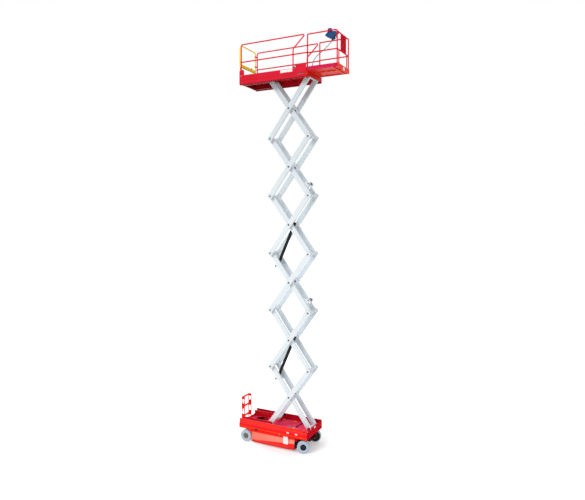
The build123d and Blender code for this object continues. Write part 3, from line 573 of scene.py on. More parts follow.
pressed = []
for start, end in RIBS:
    run = Vector(end) - Vector(start)
    long, half = run.length, RIB_HALF
    outline = [(0, -half), (long, -half), (long + half, 0), (long, half), (0, half), (-half, 0)]
    laid = Matrix.Translation((*start, TRAY_FLOOR - 0.0005)) @ Matrix.Rotation(math.atan2(run.y, run.x), 4, "Z")
    pressed.append(cut_plate(outline, 0.007, 0.003, laid))
fit("tray_ribs", "chassis", "red_paint", tray_red, *pressed)

amber = moulded("amber_lens", (1.0, 0.3, 0.02), (1.0, 0.2, 0.02), 0.25, 90.0)
lenses = [turned([(0.016, 0), (0.016, 0.004), (0.01, 0.008)], (0.63, -BAND_Y, 0.5), (0, -1, 0), 18)]
for x in (-0.56, -0.111):
    lens = turned([(0.05, 0), (0.05, 0.004), (0.042, 0.009), (0.02, 0.012)])
    lens.transform(Matrix.Translation((x, 0.52, TRAY_FLOOR + 0.0005)) @ Matrix.Diagonal((1.4, 0.62, 1, 1)))
    lenses.append(lens)
fit("tray_lenses", "chassis", "yellow_paint", amber, *lenses)

# The hydraulic pump motor and its valve block lie in a dark pressed well under the cut-out, on the belly plate and on
# a pan hung from the left rail. The well's black stands in for the shade inside the opening: painted shade.

# Painted shade: the black well stands in for the shade inside the cut-out.
fit(
    "pump_well", "chassis", "black_paint", black_enamel,
    bar((-1.5, -1.02), (0.25, 0.448), (0.41, 0.414), 0.001),
    bar((-1.5, -1.02), (0.444, 0.448), (0.414, 0.5365), 0.001),
    bar((-1.5, -1.496), (-0.1985, 0.444), (0.414, 0.5365), 0.001),
    bar((-1.024, -1.02), (-0.1985, 0.444), (0.414, 0.5365), 0.001),
    bar((-1.5, -1.02), (-0.1985, 0.1985), (0.3065, 0.3095), 0.001),
    bar((-1.36, -1.3), (0.29, 0.4), (0.4135, 0.47), 0.006),
    bar((-1.23, -1.12), (0.27, 0.33), (0.4135, 0.5), 0.006),
)
motor = [(0.05, 0), (0.056, 0.006), (0.056, 0.022), (0.052, 0.026), (0.052, 0.15), (0.056, 0.154)]
motor += [(0.056, 0.176), (0.04, 0.186), (0.04, 0.2), (0.018, 0.204)]
fit(
    "pump_motor", "chassis", "black_paint", black_enamel,
    turned(motor, (-1.405, 0.08, 0.375), (1, 0, 0), 28),
    bar((-1.2, -1.115), (0.035, 0.13), (0.31, 0.44), 0.004),
    turned([(0.018, 0), (0.018, 0.035), (0.012, 0.045)], (-1.175, 0.085, 0.44), sides=16),
    bar((-1.385, -1.24), (0.04, 0.12), (0.309, 0.33), 0.003),
)
brass = plating("brass", (0.75, 0.48, 0.18), 0.3)
port = [(0.011, 0), (0.011, 0.012), (0.008, 0.014), (0.008, 0.024)]
ports = [turned(port, (-1.135, y, 0.4395), sides=6) for y in (0.06, 0.105)]
fit("pump_ports", "chassis", "chrome", brass, *ports)

# A dark locking strut lies across the tray between its end blocks, and a black height switch stands on a bracket at the
# front end of the left roller channel.


def drawn_bar(points, radius):
    """Round bar or moulded grip bent smoothly along a few points, as a part."""
    holder = bent_tube("bar", points, radius, 8, 3)
    mesh = bpy.data.meshes.new_from_object(holder.evaluated_get(bpy.context.evaluated_depsgraph_get()))
    bpy.data.objects.remove(holder)
    part = bmesh.new()
    part.from_mesh(mesh)
    bmesh.ops.remove_doubles(part, verts=part.verts[:], dist=0.00001)
    return part


fit(
    "locking_strut", "chassis", "black_paint", black_enamel,
    drawn_bar([(0.146, 0.102, 0.566), (0.16, 0.18, 0.572), (0.18, 0.34, 0.572), (0.19, 0.42, 0.566)], 0.012),
    bar((0.12, 0.172), (0.072, 0.112), (0.5445, 0.58), 0.003),
    bar((0.165, 0.215), (0.405, 0.445), (0.5445, 0.585), 0.003),
    bar((0.415, 0.468), (-0.15, -0.116), (0.5445, 0.556), 0.002),
)
fit(
    "height_switch", "chassis", "black_nylon", plug_black,
    bar((-0.5605, -0.44), (0.332, 0.372), (0.73, 0.742), 0.002),
    bar((-0.55, -0.44), (0.33, 0.374), (0.741, 0.83), 0.006),
    turned([(0.012, 0), (0.012, 0.02), (0.008, 0.026)], (-0.5, 0.352, 0.829), sides=16),
)

# The emergency lowering valve sits on the right rim: a grey-green body with a yellow pull knob at its front.

teal = moulded("teal_plastic", (0.1, 0.16, 0.15), (0.26, 0.33, 0.3), 0.45)
fit(
    "lowering_valve", "chassis", "black_paint", teal,
    bar((0.16, 0.345), (-0.566, -0.54), (RIM_Z, 0.776), 0.003),
    bar((0.175, 0.225), (-0.562, -0.544), (0.775, 0.788), 0.003),
    bar((0.25, 0.32), (-0.56, -0.546), (0.775, 0.783), 0.002),
)
bright_yellow = enamel("bright_yellow", (0.86, 0.6, 0.03), (0.72, 0.45, 0.02), 0.35)
knob = [(0.006, 0), (0.006, 0.01), (0.014, 0.014), (0.018, 0.02), (0.018, 0.03), (0.012, 0.036)]
fit("lowering_knob", "chassis", "yellow_paint", bright_yellow, turned(knob, (0.344, -0.553, 0.768), (1, 0, 0.15)))


# --- Skirts and swing-out trays ------------------------------------------------------------------------------------
# Battery and hydraulic trays swing out on pin hinges behind the folded skirts, over fold-down pothole guards. The skin
# above each door has a dark paddle latch and a round lock. Lids with caps close the batteries and the tank.

dress(plain_red, "left_pothole_guard", "right_pothole_guard")
case_black = moulded("case_black", (0.012, 0.012, 0.014), (0.035, 0.035, 0.038), 0.45)
dress(case_black, "battery_pack")
dress(black_enamel, "hydraulic_unit")


def reach(side, near, far):
    """From low to high, the y of two distances from the centre plane on one side."""
    return sorted((side * near, side * far))


lock = [(0.025, 0), (0.025, 0.006), (0.02, 0.009), (0.009, 0.009), (0.009, 0.006), (0.004, 0.006)]
cap = [(0.016, 0), (0.016, 0.008), (0.01, 0.01)]
for side, word, load, slot, count in (
    (1, "left", "battery_pack", "battery_case", 4),
    (-1, "right", "hydraulic_unit", "tank_paint", 2),
):
    out = (0, side, 0)
    paddle = reach(side, 0.583, 0.59)
    fit(
        word + "_tray_latch", "chassis", "black_paint", case_black,
        bar((-1.095, -0.972), reach(side, BAND_Y, 0.5835), (0.45, 0.504), 0.0015),
        bar((-1.088, -1.015), paddle, (0.454, 0.5), 0.003),
        bar((-1.008, -0.982), paddle, (0.463, 0.49), 0.003),
    )
    round_lock = turned(lock, (-0.15, side * BAND_Y, 0.483), out, 20)
    fit(word + "_tray_lock", "chassis", "black_nylon", teal, round_lock)
    bolts = [((x, side * 0.5565, z), out) for x in (0.1595, 0.172) for z in (0.352, 0.378, 0.412, 0.438)]
    bolts += [((x, side * 0.557, 0.43), out) for x in (-1.08, -0.62, -0.3)]
    bolt_up(word + "_door_bolts", word + "_tray", bolts, 0.0045, 0.003, side_red)
    low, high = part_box(load)
    lids = []
    for k in range(count):
        a, b = (low.x + (high.x - low.x) * (k + edge) / count for edge in (0.04, 0.96))
        lids.append(bar((a, b), (low.y + 0.006, high.y - 0.006), (high.z - 0.001, high.z + 0.008), 0.003))
        lids.append(turned(cap, ((a + b) / 2, (low.y + high.y) / 2, high.z + 0.0075), sides=16))
    fit(word + "_tray_lids", word + "_tray", slot, case_black, *lids)


# --- Wheels -------------------------------------------------------------------------------------------------------
# Non-marking grey rubber bonded on cast discs. The rubber has a bead, a sidewall groove, round shoulders with short
# grips and a parting line round the tread. Eight nuts and a pressed grease cap hold each disc.

WHEEL_RADIUS = 0.203
STEERED = math.radians(20)
GRIPS = 40
NUTS = 8
NUT_CIRCLE = 0.083
steered_axis = Vector((-math.sin(STEERED), math.cos(STEERED), 0))
wheels = {
    "front_left": (Vector((0.6249, 0.5127, WHEEL_RADIUS)), steered_axis),
    "front_right": (Vector((0.6851, -0.5127, WHEEL_RADIUS)), -steered_axis),
    "rear_left": (Vector((-1.442, 0.518, WHEEL_RADIUS)), Vector((0, 1, 0))),
    "rear_right": (Vector((-1.442, -0.518, WHEEL_RADIUS)), Vector((0, -1, 0))),
}

grey_rubber, make, surface = new_finish("grey_rubber")
dusty = ((noise(make, 5.0, 7.0) - 0.4) * 2.2).clamped()
speck = noise(make, 90.0, 6.0)
tone = (0.7 * dusty + 0.4 * speck - 0.1).clamped().mix((0.36, 0.45, 0.56), (0.5, 0.56, 0.62))
coat(make, surface, tone, 0.62 + 0.25 * speck, speck, 0.5, 0.0008)

rear_hub = enamel("rear_hub_casting", (0.2, 0.145, 0.1), (0.1, 0.075, 0.06), 0.6)
front_hub = enamel("front_hub_casting", (0.016, 0.017, 0.02), (0.035, 0.035, 0.038), 0.5)
dress(rear_hub, "rear_left_hub", "rear_right_hub")
dress(front_hub, "front_left_hub", "front_right_hub")
half_section = [(0.1275, 0.05), (0.134, 0.0605), (0.148, 0.06), (0.151, 0.057), (0.157, 0.057), (0.16, 0.061)]
half_section += [(0.176, 0.0618), (0.19, 0.058), (0.198, 0.051), (0.2022, 0.042), (WHEEL_RADIUS, 0.03)]
half_section += [(WHEEL_RADIUS, 0.0032), (0.201, 0.0016)]
section = [(r, -h) for r, h in half_section] + half_section[::-1]
lip = [(0.1285, 0.0505), (0.1335, 0.059), (0.1285, 0.0585), (0.104, 0.0545), (0.0985, 0.053), (0.0985, 0.0505)]
cap = [(0.034, 0.0435), (0.034, 0.049), (0.03, 0.053), (0.018, 0.057), (0.006, 0.058)]
trim = [(0.092, 0.0235), (0.107, 0.024), (0.107, 0.05), (0.1, 0.05)]

grip_pattern, make, given = new_pattern("tyre_grip_pattern", "Grip length", "Grip width")
size = make.node("ShaderNodeCombineXYZ", {0: given["Grip width"], 1: given["Grip length"], 2: 0.0022})
close_pattern(make, given, make.node("GeometryNodeMeshCube", {"Size": size}))

for name, (centre, axis) in wheels.items():
    stand = aimed(centre, axis)
    disc = rear_hub if "rear" in name else front_hub
    rubber_parts = [turned(profile, centre, axis, 72, True) for profile in (section, lip)]
    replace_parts(fit(name + "_tyre", name, "grey_tyre", grey_rubber, *rubber_parts), name + "_wheel")
    grips = []
    for k in range(GRIPS):
        angle = math.tau * k / GRIPS
        out = Vector((math.cos(angle), math.sin(angle), 0))
        for end in (-1, 1):
            lean = (out + Vector((0, 0, 0.75 * end))).normalized()
            spot = 0.1965 * out + Vector((0, 0, 0.0515 * end))
            grips.append((stand @ spot, stand.to_3x3() @ lean))
    sizes = {"Grip length": 0.013, "Grip width": 0.01}
    grow(name + "_tyre_grips", grip_pattern, grips, grey_rubber, name, sizes)
    turns = [math.tau * k / NUTS for k in range(NUTS)]
    nuts = [(stand @ Vector((NUT_CIRCLE * math.cos(a), NUT_CIRCLE * math.sin(a), 0.0245)), axis) for a in turns]
    bolt_up(name + "_wheel_nuts", name, nuts, 0.0095, 0.011, zinc if disc is rear_hub else front_hub)
    covers = [turned(cap, centre, axis), turned(trim, centre, axis, 48, True)]
    fit(name + "_grease_cap", name, "hub_paint", disc, *covers)


# --- Steering -----------------------------------------------------------------------------------------------------
# A black-enamelled axle beam, drop knuckles on kingpins with brake shields, and a tie rod with ball joints in rubber
# boots; their black stands in for the shade under the front, and the shields darken the far wheel's inner side as
# painted shade. Rubber flaps and liners close the wheel arches as painted shade, and red brackets stiffen them.

KINGPIN_X = 0.655
KINGPIN_Y = 0.43
STEERING_ARM = 0.13

# Painted shade: the axle, knuckles and tie rod are black to stand in for the shade under the front.
dress(black_enamel, "front_axle", "left_knuckle", "right_knuckle", "tie_rod")
rubber = moulded("black_rubber", (0.014, 0.014, 0.015), (0.045, 0.044, 0.042), 0.75)
boot = [(0.02, 0), (0.026, 0.003), (0.023, 0.006), (0.026, 0.009), (0.021, 0.012), (0.018, 0.014)]
shield = [(0.16, 0), (0.172, 0.001), (0.172, 0.006), (0.16, 0.007), (0.06, 0.008)]
arches, brackets = [], []
for side, word in ((1, "left"), (-1, "right")):
    hub_centre, hub_axis = wheels["front_" + word]
    # Painted shade: each dark shield covers the tyre's inner side, so the far wheel looks as it does in shade.
    disc_shield = turned(shield, hub_centre - 0.0715 * hub_axis, hub_axis, 36)
    fit(word + "_brake_shield", word + "_steer", "black_paint", case_black, disc_shield)
    pin_x = KINGPIN_X - STEERING_ARM * math.cos(STEERED)
    pin_y = side * KINGPIN_Y - STEERING_ARM * math.sin(STEERED)
    fit(word + "_joint_boot", word + "_steer", "black_nylon", rubber, turned(boot, (pin_x, pin_y, 0.2695), sides=20))
    kingpin = [((KINGPIN_X, side * KINGPIN_Y, 0.1505), (0, 0, -1))]
    bolt_up(word + "_kingpin_nut", word + "_steer", kingpin, 0.018, 0.014, zinc)
    # Painted shade: black flaps, liners and edging fill the arches where they look dark in shade.
    arches += [
        bar((0.383, 0.3865), reach(side, 0.262, 0.548), (0.075, 0.448), 0.001),
        bar((-1.2205, -1.217), reach(side, 0.262, 0.548), (0.075, 0.448), 0.001),
        bar((0.3865, 0.59), reach(side, 0.26, 0.264), (0.15, 0.446), 0.001),
        bar((0.3865, 0.4), reach(side, 0.53, 0.548), (0.1, 0.446), 0.001),
        bar((0.3865, 0.47), reach(side, 0.5, 0.548), (0.425, 0.446), 0.001),
    ]
    brackets.append(bar((0.47, 0.535), reach(side, 0.525, 0.5735), (0.418, 0.4545), 0.003))
    brackets.append(bar((0.404, 0.462), reach(side, 0.5, 0.54), (0.33, 0.423), 0.003))
fit("arch_flaps_and_shade_liners", "chassis", "black_nylon", rubber, *arches)
fit("arch_brackets", "chassis", "red_paint", shaded_front_red, *brackets)
axle_bolts = [((x, side * 0.225, 0.4145), (0, 0, -1)) for side in (-1, 1) for x in (0.615, 0.695)]
bolt_up("axle_bolts", "chassis", axle_bolts, 0.011, 0.008)


# --- Ladder -------------------------------------------------------------------------------------------------------
# A folded ladder on the rear plate. Its treads have raised grip buttons pressed in rows, and two bolts go through
# each side into the rear plate's brackets.

TREADS = (0.4, 0.7, 1.04, 1.366)

dress(plain_red, "entry_ladder")
button_pattern, make, given = new_pattern("tread_button_pattern", "Button radius", "Pitch", "Length", "Depth")
long, deep, radius = given["Length"], given["Depth"], given["Button radius"]
columns, rows = (make.math("FLOOR", size / given["Pitch"]) for size in (long, deep))
grid = make.node("GeometryNodeMeshGrid", {"Size X": deep, "Size Y": long, "Vertices X": rows, "Vertices Y": columns})
cone = {"Vertices": 8, "Radius Top": 0.5 * radius, "Radius Bottom": radius, "Depth": 0.002}
cone = make.node("GeometryNodeMeshCone", cone)
close_pattern(make, given, make.node("GeometryNodeInstanceOnPoints", {"Points": grid, "Instance": cone}))
sizes = {"Button radius": 0.006, "Pitch": 0.024, "Length": 0.392, "Depth": 0.086}
treads = [((-1.7635, 0, z), (0, 0, 1)) for z in TREADS]
grow("ladder_buttons", button_pattern, treads, plain_red, "chassis", sizes)
ladder_bolts = [((-1.712, side * 0.22, z), (0, side, 0)) for side in (-1, 1) for z in (0.562, 0.588)]
bolt_up("ladder_bolts", "chassis", ladder_bolts, 0.007, 0.005)


# --- Scissor arms -------------------------------------------------------------------------------------------------
# Six pairs of crossed box-section arms in pale satin enamel, greyer towards the top. Turned pins join them at both
# ends and at the middle, each with a dark head and a keeper bolt, and a weld bead runs round every boss.

STAGES = 6
FRONT_X = 0.742
REAR_X = -0.6417
CENTRE_X = 0.0502
FIRST_PIN_Z = 0.697
RISE = 1.8871
ARM_LENGTH = 2.34
OUTER_ARM_Y = 0.32
INNER_ARM_Y = 0.16
RISING = Vector((0.5913, 0, 0.8064))
LEANING = Vector((-0.5913, 0, 0.8064))

arm_pale, make, surface = new_finish("arm_pale", 0.3)
cloud = noise(make, 1.3, 4.0)
runs = ((noise(make, 9.0, 6.0, (5, 5, 0.5)) - 0.5) * 3.0).clamped()
specks = ((noise(make, 55.0, 7.0) - 0.62) * 8.0).clamped()
tone = (1.5 * cloud - 0.35).clamped().mix((0.725, 0.775, 0.805), (0.67, 0.73, 0.765))
# Painted shade: the arms' inward faces are darker.
tone = inside(make).mix(tone, (0.64, 0.71, 0.765))
tone = (0.8 * within(make, "Z", 7.0, 20.0, 4.5)).mix(tone, (0.53, 0.585, 0.615))
tone = (0.05 * runs + 0.05 * specks).clamped().mix(tone, (0.42, 0.44, 0.46))
coat(make, surface, tone, 0.38 + 0.15 * cloud + 0.15 * runs, noise(make, 220.0, 2.0))
pin_dark = plating("pin_dark", (0.1, 0.1, 0.11), 0.45)
dress(moulded("black_nylon", (0.018, 0.018, 0.019), (0.05, 0.05, 0.05)), "lower_rollers", "upper_rollers")

pin_head = [(0.03, 0), (0.03, 0.003), (0.027, 0.0045), (0.012, 0.0045), (0.01, 0.003), (0.004, 0.003)]
end_head = [(0.026, 0), (0.026, 0.003), (0.023, 0.0045), (0.01, 0.0045)]
bead = [(0.042, 0.0005), (0.047, -0.0005), (0.05, 0.0005), (0.047, 0.0035), (0.042, 0.004)]
sleeve_bead = [(r + 0.0045, h) for r, h in bead]


def pin_z(level):
    return FIRST_PIN_Z + level * RISE


def up_arms(heel, direction, distances, y):
    """Places on the outer faces of a pair of arms, at some distances up from the heel pin."""
    spots = [heel + distance * direction for distance in distances]
    return [((spot.x, side * y, spot.z), (0, side, 0)) for side in (-1, 1) for spot in spots]


for level in range(1, STAGES + 1):
    dress(arm_pale, f"scissor_inner_{level}", f"scissor_outer_{level}")
    inner, outer = f"inner_{level}", f"outer_{level}"
    centre_z = pin_z(level - 0.5)
    foot, heel = (Vector((x, 0, pin_z(level - 1))) for x in (FRONT_X, REAR_X))
    ends = [(REAR_X, pin_z(level - 1)), (FRONT_X, pin_z(level))]
    if level == 1:
        ends = ends[1:]
    if level == STAGES:
        ends = ends[:1]
    heads, beads, caps, rings = [], [], [], []
    for side in (-1, 1):
        out, inward = (0, side, 0), (0, -side, 0)
        for profile, x, z in [(pin_head, CENTRE_X, centre_z)] + [(end_head, *end) for end in ends]:
            heads.append(turned(profile, (x, side * (OUTER_ARM_Y + 0.0045), z), out))
            beads.append(turned(bead, (x, side * OUTER_ARM_Y, z), out, 28, True))
        caps.append(turned(pin_head, (CENTRE_X, side * (INNER_ARM_Y + 0.0005), centre_z), inward))
        rings.append(turned(bead, (CENTRE_X, side * INNER_ARM_Y, centre_z), inward, 28, True))
        for spot in (foot, foot + ARM_LENGTH * LEANING):
            rings.append(turned(sleeve_bead, (spot.x, side * INNER_ARM_Y, spot.z), inward, 28, True))
    fit(f"outer_pin_heads_{level}", outer, "black_paint", pin_dark, *heads)
    fit(f"outer_beads_{level}", outer, "white_paint", arm_pale, *beads)
    fit(f"inner_pin_heads_{level}", inner, "black_paint", pin_dark, *caps)
    fit(f"inner_beads_{level}", inner, "white_paint", arm_pale, *rings)
    grease = up_arms(foot, LEANING, (0.14, 2.2), 0.2255)
    bolt_up(f"inner_grease_points_{level}", inner, grease, 0.005, 0.005)
    keepers = up_arms(heel, RISING, (0.055, 2.285), 0.3205)
    bolt_up(f"outer_keeper_bolts_{level}", outer, keepers, 0.006, 0.004, pin_dark)

lug_heads = [turned(end_head, (FRONT_X, side * 0.2515, FIRST_PIN_Z), (0, side, 0)) for side in (-1, 1)]
fit("lug_pin_heads", "chassis", "black_paint", pin_dark, *lug_heads)


# --- Lift cylinders -----------------------------------------------------------------------------------------------
# Two hydraulic rams with black barrels and hard-chromed rods. Each barrel has a gland nut, a collar and two port
# bosses, and each eye turns on a dark pin in the pale brackets of an inner arm.

RAM_ANGLE = math.radians(66.083)
RAM_SPAN = 2.9623
RAM_FOOT_X = -0.5223
chrome = plating("hard_chrome", (0.8, 0.81, 0.83), 0.1)
ram_black = enamel("ram_black", (0.014, 0.015, 0.018), (0.03, 0.031, 0.034))
along = Vector((math.cos(RAM_ANGLE), 0, math.sin(RAM_ANGLE)))
across = Vector((-math.sin(RAM_ANGLE), 0, math.cos(RAM_ANGLE)))
eye_head = [(0.024, 0), (0.024, 0.0025), (0.021, 0.0038), (0.008, 0.0038)]
gland = [(0.0585, 1.54), (0.06, 1.545), (0.06, 1.59), (0.056, 1.596), (0.035, 1.598), (0.0325, 1.59)]
gland += [(0.0325, 1.56), (0.05, 1.54)]
collar = [(0.0515, 0.06), (0.057, 0.064), (0.057, 0.072), (0.0515, 0.076)]
boss = [(0.016, 0), (0.016, 0.012), (0.012, 0.014), (0.012, 0.022), (0.007, 0.024)]
rod_ring = [(0.0445, -0.046), (0.0445, 0.046), (0.0465, 0.046), (0.0485, 0.04), (0.0485, -0.04), (0.0465, -0.046)]
for word, foot_z, foot_body, head_body in (
    ("lower", 2.1508, "inner_1", "inner_3"),
    ("upper", 5.9249, "inner_3", "inner_5"),
):
    foot = Vector((RAM_FOOT_X, 0, foot_z))
    head = foot + RAM_SPAN * along
    barrel, rod = word + "_cylinder_barrel", word + "_cylinder_rod"
    dress(ram_black, barrel)
    dress(chrome, rod)
    fittings = [turned(profile, foot, along, 32, True) for profile in (gland, collar)]
    fittings += [turned(boss, foot + up * along + 0.05 * across, across, 18) for up in (0.15, 1.48)]
    fit(word + "_ram_fittings", barrel, "black_paint", ram_black, *fittings)
    fit(word + "_rod_eye", rod, "black_paint", ram_black, turned(rod_ring, head, (0, 1, 0), 32, True))
    for at, body in ((foot, foot_body), (head, head_body)):
        pins = [turned(eye_head, (at.x, side * 0.154, at.z), (0, side, 0)) for side in (-1, 1)]
        fit(f"{word}_eye_pins_{body}", body, "black_paint", pin_dark, *pins)


# --- Platform frame -----------------------------------------------------------------------------------------------
# Folded side beams joined by box members and end sheets, hung with the roller channels and the front pivot lugs. The
# underside is painted darker than the sides as painted shade, plainer red again at the beams' front ends, and a
# darker band along the beams' fold is a painted reflection. Dark bolts hold the beams at their fronts and rears.

BEAM_Y = 0.5425
# Painted reflection: a darker orange-brown band along the beams' fold.
fold_reflection_tones = [((0.52, 0.01, 0.002), bands(("Z", 12.07, 12.112, 0.012)))]
# Painted shade on the underside, with a plainer red at the beams' front ends.
under_shade_tones = [
    *fold_reflection_tones,
    ((0.24, 0.004, 0.006), bands(("Y", -0.1, 0.536, 0.003))),
    ((0.62, 0.006, 0.003), bands(("X", 0.7, 0.9, 0.004))),
]
platform_colours = ((0.66, 0.008, 0.032), (0.58, 0.005, 0.024), 0.35)
platform_red = enamel("platform_red", *platform_colours, tones=fold_reflection_tones)
shaded_frame_red = enamel("shaded_frame_red", *platform_colours, tones=under_shade_tones)
dress(platform_red, "toe_boards")
dress(shaded_frame_red, "platform_frame")

beam_bolts, covers, top_heads = [], [], []
for side in (-1, 1):
    out = (0, side, 0)
    beam_bolts += [((x, side * 0.5435, 12.052), out) for x in (0.7, 0.745, 0.79)]
    beam_bolts += [((x, side * 0.5435, 12.06), out) for x in (-1.6, -0.65, -0.15)]
    covers.append(bar((0.47, 0.672), reach(side, BEAM_Y, 0.5455), (12.05, 12.078), 0.001))
    top_heads.append(turned(pin_head, (FRONT_X, side * 0.3475, pin_z(STAGES)), out))
for y in (-0.42, -0.14, 0.14, 0.42):
    beam_bolts += [((0.8375, y, 12.07), (1, 0, 0)), ((-1.6805, y, 12.07), (-1, 0, 0))]
bolt_up("beam_bolts", "platform", beam_bolts, 0.01, 0.006, pin_dark)
grey_plate = enamel("grey_plate", (0.12, 0.1, 0.11), (0.2, 0.17, 0.18), 0.5)
fit("beam_cover_plates", "platform", "black_paint", grey_plate, *covers)
fit("top_pin_heads", "outer_6", "black_paint", pin_dark, *top_heads)
clip_grey = moulded("clip_grey", (0.55, 0.56, 0.55), (0.35, 0.36, 0.35))
fit(
    "rear_level_switch", "platform", "white_paint", clip_grey,
    bar((-1.672, -1.632), (0.395, 0.445), (11.992, 12.05), 0.003),
    turned([(0.012, 0), (0.012, 0.014), (0.008, 0.018)], (-1.65, 0.42, 11.994), (0, 0, -1), 16),
)


# --- Decks --------------------------------------------------------------------------------------------------------
# Steel chequer plate on the main deck and on the extension: raised lozenges in two directions, 36 mm apart, under
# worn red enamel.

deck_red = enamel("deck_red", (0.46, 0.005, 0.006), (0.34, 0.004, 0.006), 0.5)
dress(deck_red, "platform_deck")

chequer_pattern, make, given = new_pattern("chequer_pattern", "Length", "Width", "Pitch", "Lozenge length")
long, wide, pitch, lozenge_long = (given[size] for size in ("Length", "Width", "Pitch", "Lozenge length"))
layers = []
for offset, quarter in ((0.0, math.radians(45)), (0.5, math.radians(-45))):
    grid = {"Size X": long - pitch, "Size Y": wide - pitch}
    grid |= {"Vertices X": make.math("FLOOR", long / pitch), "Vertices Y": make.math("FLOOR", wide / pitch)}
    step = make.node("ShaderNodeCombineXYZ", {0: (offset - 0.25) * pitch, 1: (offset - 0.25) * pitch})
    grid = {"Geometry": make.node("GeometryNodeMeshGrid", grid), "Translation": step}
    grid = make.node("GeometryNodeTransform", grid)
    lozenge = {"Vertices": 6, "Radius Top": 0.55, "Radius Bottom": 1.0, "Depth": 1.0}
    size = make.node("ShaderNodeCombineXYZ", {0: 0.5 * lozenge_long, 1: 0.16 * lozenge_long, 2: 0.0016})
    lay = make.node("ShaderNodeCombineXYZ", {2: quarter})
    lozenge = {"Geometry": make.node("GeometryNodeMeshCone", lozenge), "Scale": size, "Rotation": lay}
    lozenge = make.node("GeometryNodeTransform", lozenge)
    layers.append(make.node("GeometryNodeInstanceOnPoints", {"Points": grid, "Instance": lozenge}))
close_pattern(make, given, make.node("GeometryNodeJoinGeometry", {0: layers}))

low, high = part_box("platform_deck")
chequer = {"Pitch": 0.036, "Lozenge length": 0.026}
for name, body, at, length, width in (
    ("deck_chequer", "platform", ((low.x + high.x) / 2, 0, high.z), high.x - low.x - 0.02, high.y - low.y - 0.02),
    ("extension_chequer", "extension", (1.302, 0, 12.19), 0.96, 0.88),
):
    sizes = {"Length": length, "Width": width, **chequer}
    grow(name, chequer_pattern, [(at, (0, 0, 1))], deck_red, body, sizes)


# --- Toe-boards ---------------------------------------------------------------------------------------------------
# Sheet toe-boards with a flange under the rail posts. The right one carries a blank white notice panel. A dark lock
# lever for the extension stands at the front of each, and a raised bracket and a black strip at its rear corner.

TOE_BOARD_Y = 0.5465
panel = bar((-0.13, 0.3), (-0.5445, -BEAM_Y), (12.168, 12.258), 0.0008)
fit("toe_board_panel", "platform", "white_paint", plate_white, panel)
lever = [(0.345, 12.292), (0.375, 12.33), (0.425, 12.352), (0.462, 12.35)]
corner = [(-1.65, 12.3), (-1.65, 12.545), (-1.6, 12.545), (-1.575, 12.45), (-1.512, 12.43), (-1.512, 12.3)]
for side, word in ((1, "left"), (-1, "right")):
    fit(
        word + "_extension_lock", "platform", "black_paint", case_black,
        bar((0.33, 0.402), reach(side, 0.53, TOE_BOARD_Y), (12.2705, 12.3), 0.003),
        drawn_bar([(x, side * 0.538, z) for x, z in lever], 0.008),
        bar((-1.505, -1.494), reach(side, 0.538, 0.545), (12.274, 12.414), 0.002),
    )
    upright = Matrix(((1, 0, 0, 0), (0, 0, -1, side * TOE_BOARD_Y + 0.0015), (0, 1, 0, 0), (0, 0, 0, 1)))
    fit(word + "_corner_bracket", "platform", "red_paint", platform_red, cut_plate(corner, 0.003, 0.001, upright))
    feet = [((x, side * 0.543, 12.254), (0, side, 0)) for x in (-1.655, -1.585, 0.281, 0.351)]
    bolt_up(word + "_post_bolts", "platform", feet, 0.007, 0.005)


# --- Guard rails --------------------------------------------------------------------------------------------------
# Bent round tube in the same red. Each post stands in a welded collar on the toe-board flange, and a bead runs round
# each joint with the mid rail, whose front end is capped.

RAIL_Y = 0.5185
MID_RAIL_Z = 12.705
rail_red = enamel("rail_red", (0.8, 0.001, 0.026), (0.7, 0.001, 0.03), 0.4, gloss=0.03)
dress(rail_red, "left_guard_rail", "right_guard_rail", "extension_rails", "front_panel")
collar = [(0.0195, 0), (0.025, 0.001), (0.0225, 0.005), (0.0205, 0.009), (0.0195, 0.009)]
cap = [(0.0175, 0), (0.0215, 0.001), (0.0215, 0.006), (0.019, 0.01), (0.01, 0.012)]
for side, word in ((-1, "right"), (1, "left")):
    joints = [turned(cap, (0.7845, side * RAIL_Y, MID_RAIL_Z), (1, 0, 0))]
    for x in (-1.62, 0.316):
        joints.append(turned(collar, (x, side * RAIL_Y, 12.27), (0, 0, 1), 24, True))
        for end in (-1, 1):
            joints.append(turned(collar, (x + end * 0.0185, side * RAIL_Y, MID_RAIL_Z), (end, 0, 0), 24, True))
    fit(f"rail_joints_{word}", "platform", "red_paint", rail_red, *joints)


# --- Gate ---------------------------------------------------------------------------------------------------------
# A yellow bent-tube gate over a deep box bar with a sheet cover. A collar runs round each of its uprights, a side
# plate and a spring latch are on the right one, and a black pull lies on the bar.

gate_yellow = enamel("gate_yellow", (0.88, 0.76, 0.045), (0.8, 0.68, 0.032), 0.35)
dress(gate_yellow, "rear_gate")
sleeve = [(0.0195, 0), (0.0245, 0.001), (0.0245, 0.03), (0.0195, 0.031)]
fit(
    "gate_latch", "gate", "yellow_paint", gate_yellow,
    bar((-1.685, -1.682), (-0.47, 0.47), (12.556, 12.682), 0.001),
    bar((-1.685, -1.652), (-0.47, 0.47), (12.556, 12.56), 0.001),
    bar((-1.718, -1.68), (-0.482, -0.476), (12.6, 13.215), 0.001),
    bar((-1.684, -1.652), (-0.492, -0.458), (13.13, 13.205), 0.003),
    bar((-1.676, -1.66), (-0.5, -0.452), (13.15, 13.166), 0.003),
    *[turned(sleeve, (-1.668, y, 12.65), (0, 0, 1), 20, True) for y in (-0.473, 0.473)],
)
fit(
    "gate_pull", "gate", "black_nylon", case_black,
    bar((-1.659, -1.648), (0.175, 0.235), (12.662, 12.684), 0.003),
    bar((-1.676, -1.66), (0.18, 0.23), (12.6495, 12.67), 0.003),
)
bolt_up("gate_bolts", "gate", [((-1.6535, y, 12.612), (1, 0, 0)) for y in (-0.43, 0.43)], 0.008, 0.005)


